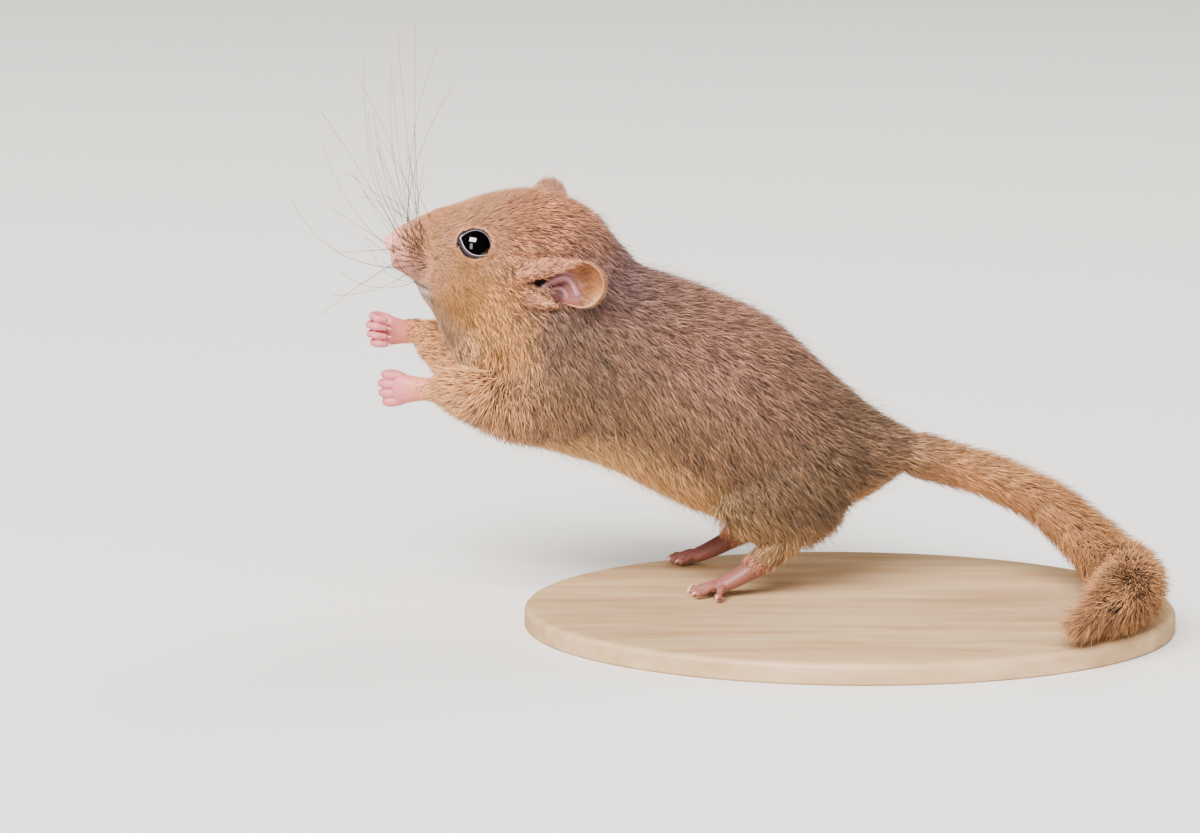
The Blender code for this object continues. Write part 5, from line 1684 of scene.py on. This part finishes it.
# %% Tail hair
def grow_tail(name, count, seed, first, last):
    """Hairs round a stretch of the tail. Length follows the coat's radius, and the lift is what takes the
    tip from the core out to that radius."""
    rng = np.random.default_rng(seed)
    share = first + (last - first) * (np.arange(count) + rng.random(count)) / count
    turn = rng.uniform(0, 2 * math.pi, count)
    share = share ** np.where(share > 0.9, 0.7, 1.0)
    middle, along, side_way, up_way, radius = tail_frame(share)
    core = tail_core_radius(share)
    normal = side_way * np.cos(turn)[:, None] + up_way * np.sin(turn)[:, None]
    root = middle + normal * (core - 0.1)[:, None]
    length = (4.4 + 3.4 * share) * rng.uniform(0.65, 1.15, count)
    ends = share + length / TAIL_LENGTH
    rounded = np.sqrt(1 - np.clip((ends - 0.88) / 0.2, 0, 1) ** 2)
    wanted = radius * rounded * rng.uniform(0.62, 1.16, count) - core
    lift = np.arcsin(np.clip(wanted / length, -0.3, 0.8))
    # Below, no hair goes through the plate
    low_room = (root[:, 2] - 0.35) / np.maximum(-normal[:, 2], 0.05) / length
    lift = np.where(normal[:, 2] < -0.1, np.minimum(lift, np.arcsin(np.clip(low_room, 0.02, 0.9))), lift)
    way = laid_on(unit(along + rng.normal(0, 0.17, (count, 3))), normal)
    lifts = [lift * 1.35, lift * 0.72]
    colour = blend(linear("#CC925F"), linear("#B47E4C"), ease(0.15, 0.6, share))
    colour = blend(TAN * 1.25, colour, ease(0.0, 0.12, share))
    colour = blend(colour, linear("#7E5C42"), ease(0.4, 0.9, share) * (rng.random(count) < 0.4))
    colour = colour * (1 + 0.2 * wisp(root, 1.2)[:, 3] + rng.normal(0, 0.25, count)).clip(0.35, 1.8)[:, None]
    atlas = np.stack([0.86 + 0.12 * turn / (2 * math.pi), 0.02 + 0.96 * share], axis=1)
    tones = ((0.5, SLATE * 0.04), (0.85, 0.0), (1.4, 0.0))
    wide = rng.uniform(0.1, 0.19, count)
    coat.append(blades(name, root, normal, way, length, wide, lifts, tones, colour, atlas))


TAIL_TUFTS = 11000
for number, (name, first, last) in enumerate((
    ("coat_tail_root", 0.0, 0.34), ("coat_tail_middle", 0.34, 0.66), ("coat_tail_tip", 0.66, 0.995),
)):
    grow_tail(name, TAIL_TUFTS, 40 + number, first, last)
print("tail:", 3 * TAIL_TUFTS, "tufts")

# %% [markdown]
# ## Whiskers
#
# Whiskers stand in rows on the pad of the upper lip. The longest reach 33 mm, upwards in the picture. Each
# is a tapering hair that bends under its own spring.

# %% Whiskers
# The tips of the long ones, as steps from the middle of the pad: backwards, outwards and up
LONG_WHISKERS = {
    -1: (
        (0.6, 3.5, 33.5), (6.2, 8.0, 26.0), (-6.2, 8.5, 29.5), (-12.5, 9.0, 22.5), (-16.8, 9.5, 10.5),
        (-12.6, 11.0, -6.0),
    ),
    1: ((2.6, 6.5, 28.0), (-3.2, 6.0, 30.0), (-9.6, 8.5, 23.5), (-14.6, 9.5, 13.0), (-13.0, 12.0, -3.0)),
}
# A whisker is nearly clear horn: dark at the root, pale towards the tip, with a bright line along it.
whisker_horn = painted_material("whisker_keratin", Roughness=0.3, IOR=1.55)


def whisker_set(side, seed, extra=15):
    """The long whiskers, and shorter ones fanned between them. Each is rooted in the pad on the side it
    leans to, and its middle line is a curve of the second degree from the root by a bend to the tip."""
    rng = np.random.default_rng(seed)
    on_side = skin_points[:, 1] * side > 1.2
    ahead, high = from_pad(skin_points[on_side])
    middle = body_frame(PAD_STATION, -side * PAD_DEGREES)[0]
    tips = [np.array((x, side * y, z)) for x, y, z in LONG_WHISKERS[side]]
    for _ in range(extra):
        first, second = rng.integers(0, len(LONG_WHISKERS[side]) - 1), rng.random()
        between = tips[first] * (1 - second) + tips[first + 1] * second
        tips.append(between * rng.uniform(0.35, 0.85) + rng.normal(0, 1.3, 3))
    shells, shares = [], []
    for i, tip in enumerate(tips):
        way = math.atan2(tip[2], -tip[0])
        turn, reach = 0.4 * way + rng.normal(0, 0.35), rng.uniform(3.0, 6.4)
        spot = np.hypot(ahead - reach * math.cos(turn), high - reach * math.sin(turn)).argmin()
        root, out = skin_points[on_side][spot], skin_normals[on_side][spot]
        where = np.linspace(0, 1, 26)[:, None]
        reach = np.linalg.norm(middle + tip - root)
        bend = root + unit(out * 0.5 + unit(tip)) * reach * 0.5 + rng.normal(0, 0.05, 3) * reach
        line = root * (1 - where) ** 2 + bend * 2 * where * (1 - where) + (middle + tip) * where**2
        thick = (0.054 if i < len(LONG_WHISKERS[side]) else 0.038) * (1 - 0.7 * where)
        shells.append(limb_tube(np.hstack([line, thick, thick]), 6, 26, (1, 0, 0.01)))
        shares.append(np.clip(np.linalg.norm(shells[-1][0] - root, axis=1) / 12.0, 0, 1))
    return joined(shells), np.concatenate(shares)


for side in (-1, 1):
    (points, faces), share = whisker_set(side, 60 + side)
    tones = blend(linear("#3A2A20"), linear("#75604C"), share)
    add_piece("whiskers_" + WORD[side], points, faces, whisker_horn, "whisker_pad_" + WORD[side], tones)

# %% [markdown]
# ## The base
#
# The pose leans further forward than the feet reach, so the model stands on a plain turned plate, as museum
# models do: pale lime wood, waxed, its rim rounded over.

# %% Turned plate
low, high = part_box("stand_base")
low, high = np.array(low) / MM - OFFSET, np.array(high) / MM - OFFSET


def turned_plate(low, high, bevel=0.9):
    """An oval plate: a profile of level underside, upright rim and a quarter-round shoulder, carried round
    an ellipse. The top is laid with rings so that the light falls evenly on it."""
    middle, half = (low + high) / 2, (high - low) / 2
    arc = np.radians(np.linspace(0, 90, 9))
    inset = np.concatenate([[6.0, 0.25, 0.0], bevel * (1 - np.cos(arc)), [4.0, 12.0]])
    shoulder = high[2] - bevel * (1 - np.sin(arc))
    height = np.concatenate([[low[2], low[2], low[2] + 0.25], shoulder, [high[2], high[2]]])
    turn = np.linspace(0, 2 * math.pi, 180, endpoint=False)
    rings = np.stack([
        middle[0] + (half[0] - inset)[:, None] * np.cos(turn),
        middle[1] + (half[1] - inset)[:, None] * np.sin(turn),
        np.repeat(height[:, None], len(turn), axis=1),
    ], axis=-1)
    return closed_tube(rings, (*middle[:2], low[2]), (*middle[:2], high[2]))


# Lime wood, fine turned and waxed: growth rings about 1.6 mm apart, pores far finer than the eye sees here.
lime = new_material("waxed_lime_wood", Roughness=0.5, IOR=1.47, Coat_Weight=0.15, Coat_Roughness=0.3)
place = add_node(lime, "ShaderNodeTexCoord")
along_grain = add_node(
    lime, "ShaderNodeMapping", values={"Scale": (0.12, 1.0, 1.0)}, links={"Vector": (place, "Object")},
)
figure = add_node(
    lime, "ShaderNodeTexNoise", values={"Scale": 1 / (3.2 * MM), "Detail": 5.0, "Roughness": 0.55},
    links={"Vector": (along_grain, "Vector")},
)
shade = add_node(lime, "ShaderNodeValToRGB", links={"Fac": (figure, "Fac")})
for element, position, tone in zip(shade.color_ramp.elements, (0.3, 0.72), ("#B08A62", "#CDAE86")):
    element.position = position
    element.color = (*linear(tone), 1)
feed(lime, "Base Color", shade, "Color")
grain = add_node(
    lime, "ShaderNodeBump", values={"Strength": 0.25, "Distance": 0.05 * MM},
    links={"Height": (figure, "Fac")},
)
feed(lime, "Normal", grain, "Normal")
plate = add_piece("stand_plate", *turned_plate(low, high), lime, "stand_base")
plate.data.set_sharp_from_angle(angle=math.radians(40))

# %% [markdown]
# ## Tell the frame what stands for what
#
# Each piece rides on the frame's one body and names the solids it replaces, so that only the fine surface
# shows.

# %% Ride and replace
FLESH = (
    "head", "muzzle", "lower_jaw", "neck", "torso", "upper_arm_left", "upper_arm_right", "forearm_left",
    "forearm_right", "thigh_left", "thigh_right",
)
# The eye mirrors the lamps and not the coat round it, whose image would look like fur on the ball
for obj in (skin, *coat):
    obj.visible_glossy = False
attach(skin, "root")
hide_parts(*FLESH)
for obj in coat:
    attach(obj, "root")
# Each piece rides on the frame's body and hides the solids that it replaces
for name, (obj, replaced) in pieces.items():
    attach(obj, "root")
    if replaced:
        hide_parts(*([replaced] if isinstance(replaced, str) else replaced))

# %% [markdown]
# ## Stage, light and camera
#
# A pale floor, two soft boxes and two far lamps make a plain studio. The camera looks at the animal's left
# side from a little above, and from far enough that the far ear and paw keep their size.

# %% Floor
low, high = (np.array(corner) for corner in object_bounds())
bpy.ops.mesh.primitive_plane_add(size=12.0, location=(0, 0, low[2]))
floor = bpy.context.object
floor.name = "floor"
paper = new_material("backdrop_paper", Base_Color=(*linear("#E9E6E1"), 1), Roughness=0.9)
floor.data.materials.append(paper)
floor.visible_glossy = False
floor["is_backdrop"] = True


# %% Lights
LAMP_DISTANCE = 3.0


def lamp_from(name, kind, towards, colour):
    """A lamp at the lamps' distance that shines from a way on the model."""
    lamp = bpy.data.lights.new(name, kind)
    lamp.color = colour
    obj = bpy.data.objects.new(name, lamp)
    obj.location = Vector(towards).normalized() * LAMP_DISTANCE
    obj.rotation_euler = Vector(towards).to_track_quat("Z", "Y").to_euler()
    bpy.context.scene.collection.objects.link(obj)
    return obj, lamp


def soft_box(name, towards, strength, width, height, colour):
    """A rectangular soft box whose sides are given as shares of its distance. It lights the model as
    strongly as a far lamp of the same strength: its power is the strength times pi times the distance
    squared. It is seen in the eye as a bright window."""
    lamp = lamp_from(name, "AREA", towards, colour)[1]
    lamp.shape, lamp.size, lamp.size_y = "RECTANGLE", width * LAMP_DISTANCE, height * LAMP_DISTANCE
    lamp.energy = strength * math.pi * LAMP_DISTANCE**2


def far_light(name, towards, strength, spread, colour):
    """A far lamp spread over an angle in degrees, which isn't seen in the eye."""
    obj, lamp = lamp_from(name, "SUN", towards, colour)
    lamp.energy, lamp.angle = strength, math.radians(spread)
    obj.visible_glossy = False


soft_box("key", (-0.32, -0.62, 0.74), 10.3, 0.75, 0.45, (1.0, 0.96, 0.92))
soft_box("window", (-0.5, -0.86, 0.08), 0.8, 0.3, 0.6, (1.0, 0.98, 0.96))
far_light("fill", (0.5, -0.7, 0.3), 0.9, 50.0, (1.0, 0.97, 0.94))
far_light("rim", (0.45, 0.7, 0.6), 2.0, 25.0, (1.0, 0.98, 0.95))
world = bpy.data.worlds.new("studio")
bpy.context.scene.world = world
world.use_nodes = True
world.node_tree.nodes["Background"].inputs["Color"].default_value = (0.84, 0.82, 0.80, 1)
world.node_tree.nodes["Background"].inputs["Strength"].default_value = 0.7
world.cycles_visibility.glossy = False

# %% Camera
# The photograph is 1200 wide. One of its pixels is 0.145 mm at the animal, so the view is 174 mm wide
# there. Its middle lies 20.3 mm ahead of this script's origin and 23.6 mm up the picture.
VIEW_WIDTH, DISTANCE, SENSOR_WIDTH = 174.0, 483.0, 36.0
aim = np.array((-20.3, 0.0, 23.6 / math.cos(ELEVATION)))
stand = aim + DISTANCE * np.array((0.0, -math.cos(ELEVATION), math.sin(ELEVATION)))
lens = bpy.data.cameras.new("camera")
lens.sensor_width = SENSOR_WIDTH
lens.lens = SENSOR_WIDTH * DISTANCE / VIEW_WIDTH
lens.clip_start, lens.clip_end = 0.01, 10.0
camera = bpy.data.objects.new("camera", lens)
camera.location = Vector((stand + OFFSET) * MM)
camera.rotation_euler = (math.radians(90) - ELEVATION, 0, 0)
bpy.context.scene.collection.objects.link(camera)
bpy.context.scene.camera = camera
print("camera", np.round(stand, 1), "lens", round(lens.lens, 1))

# %% [markdown]
# Last, the numbers of triangles in the skin and in the coat are printed.

# %% Finish
print("skin triangles", len(skin_faces), "coat triangles", sum(len(obj.data.polygons) for obj in coat))
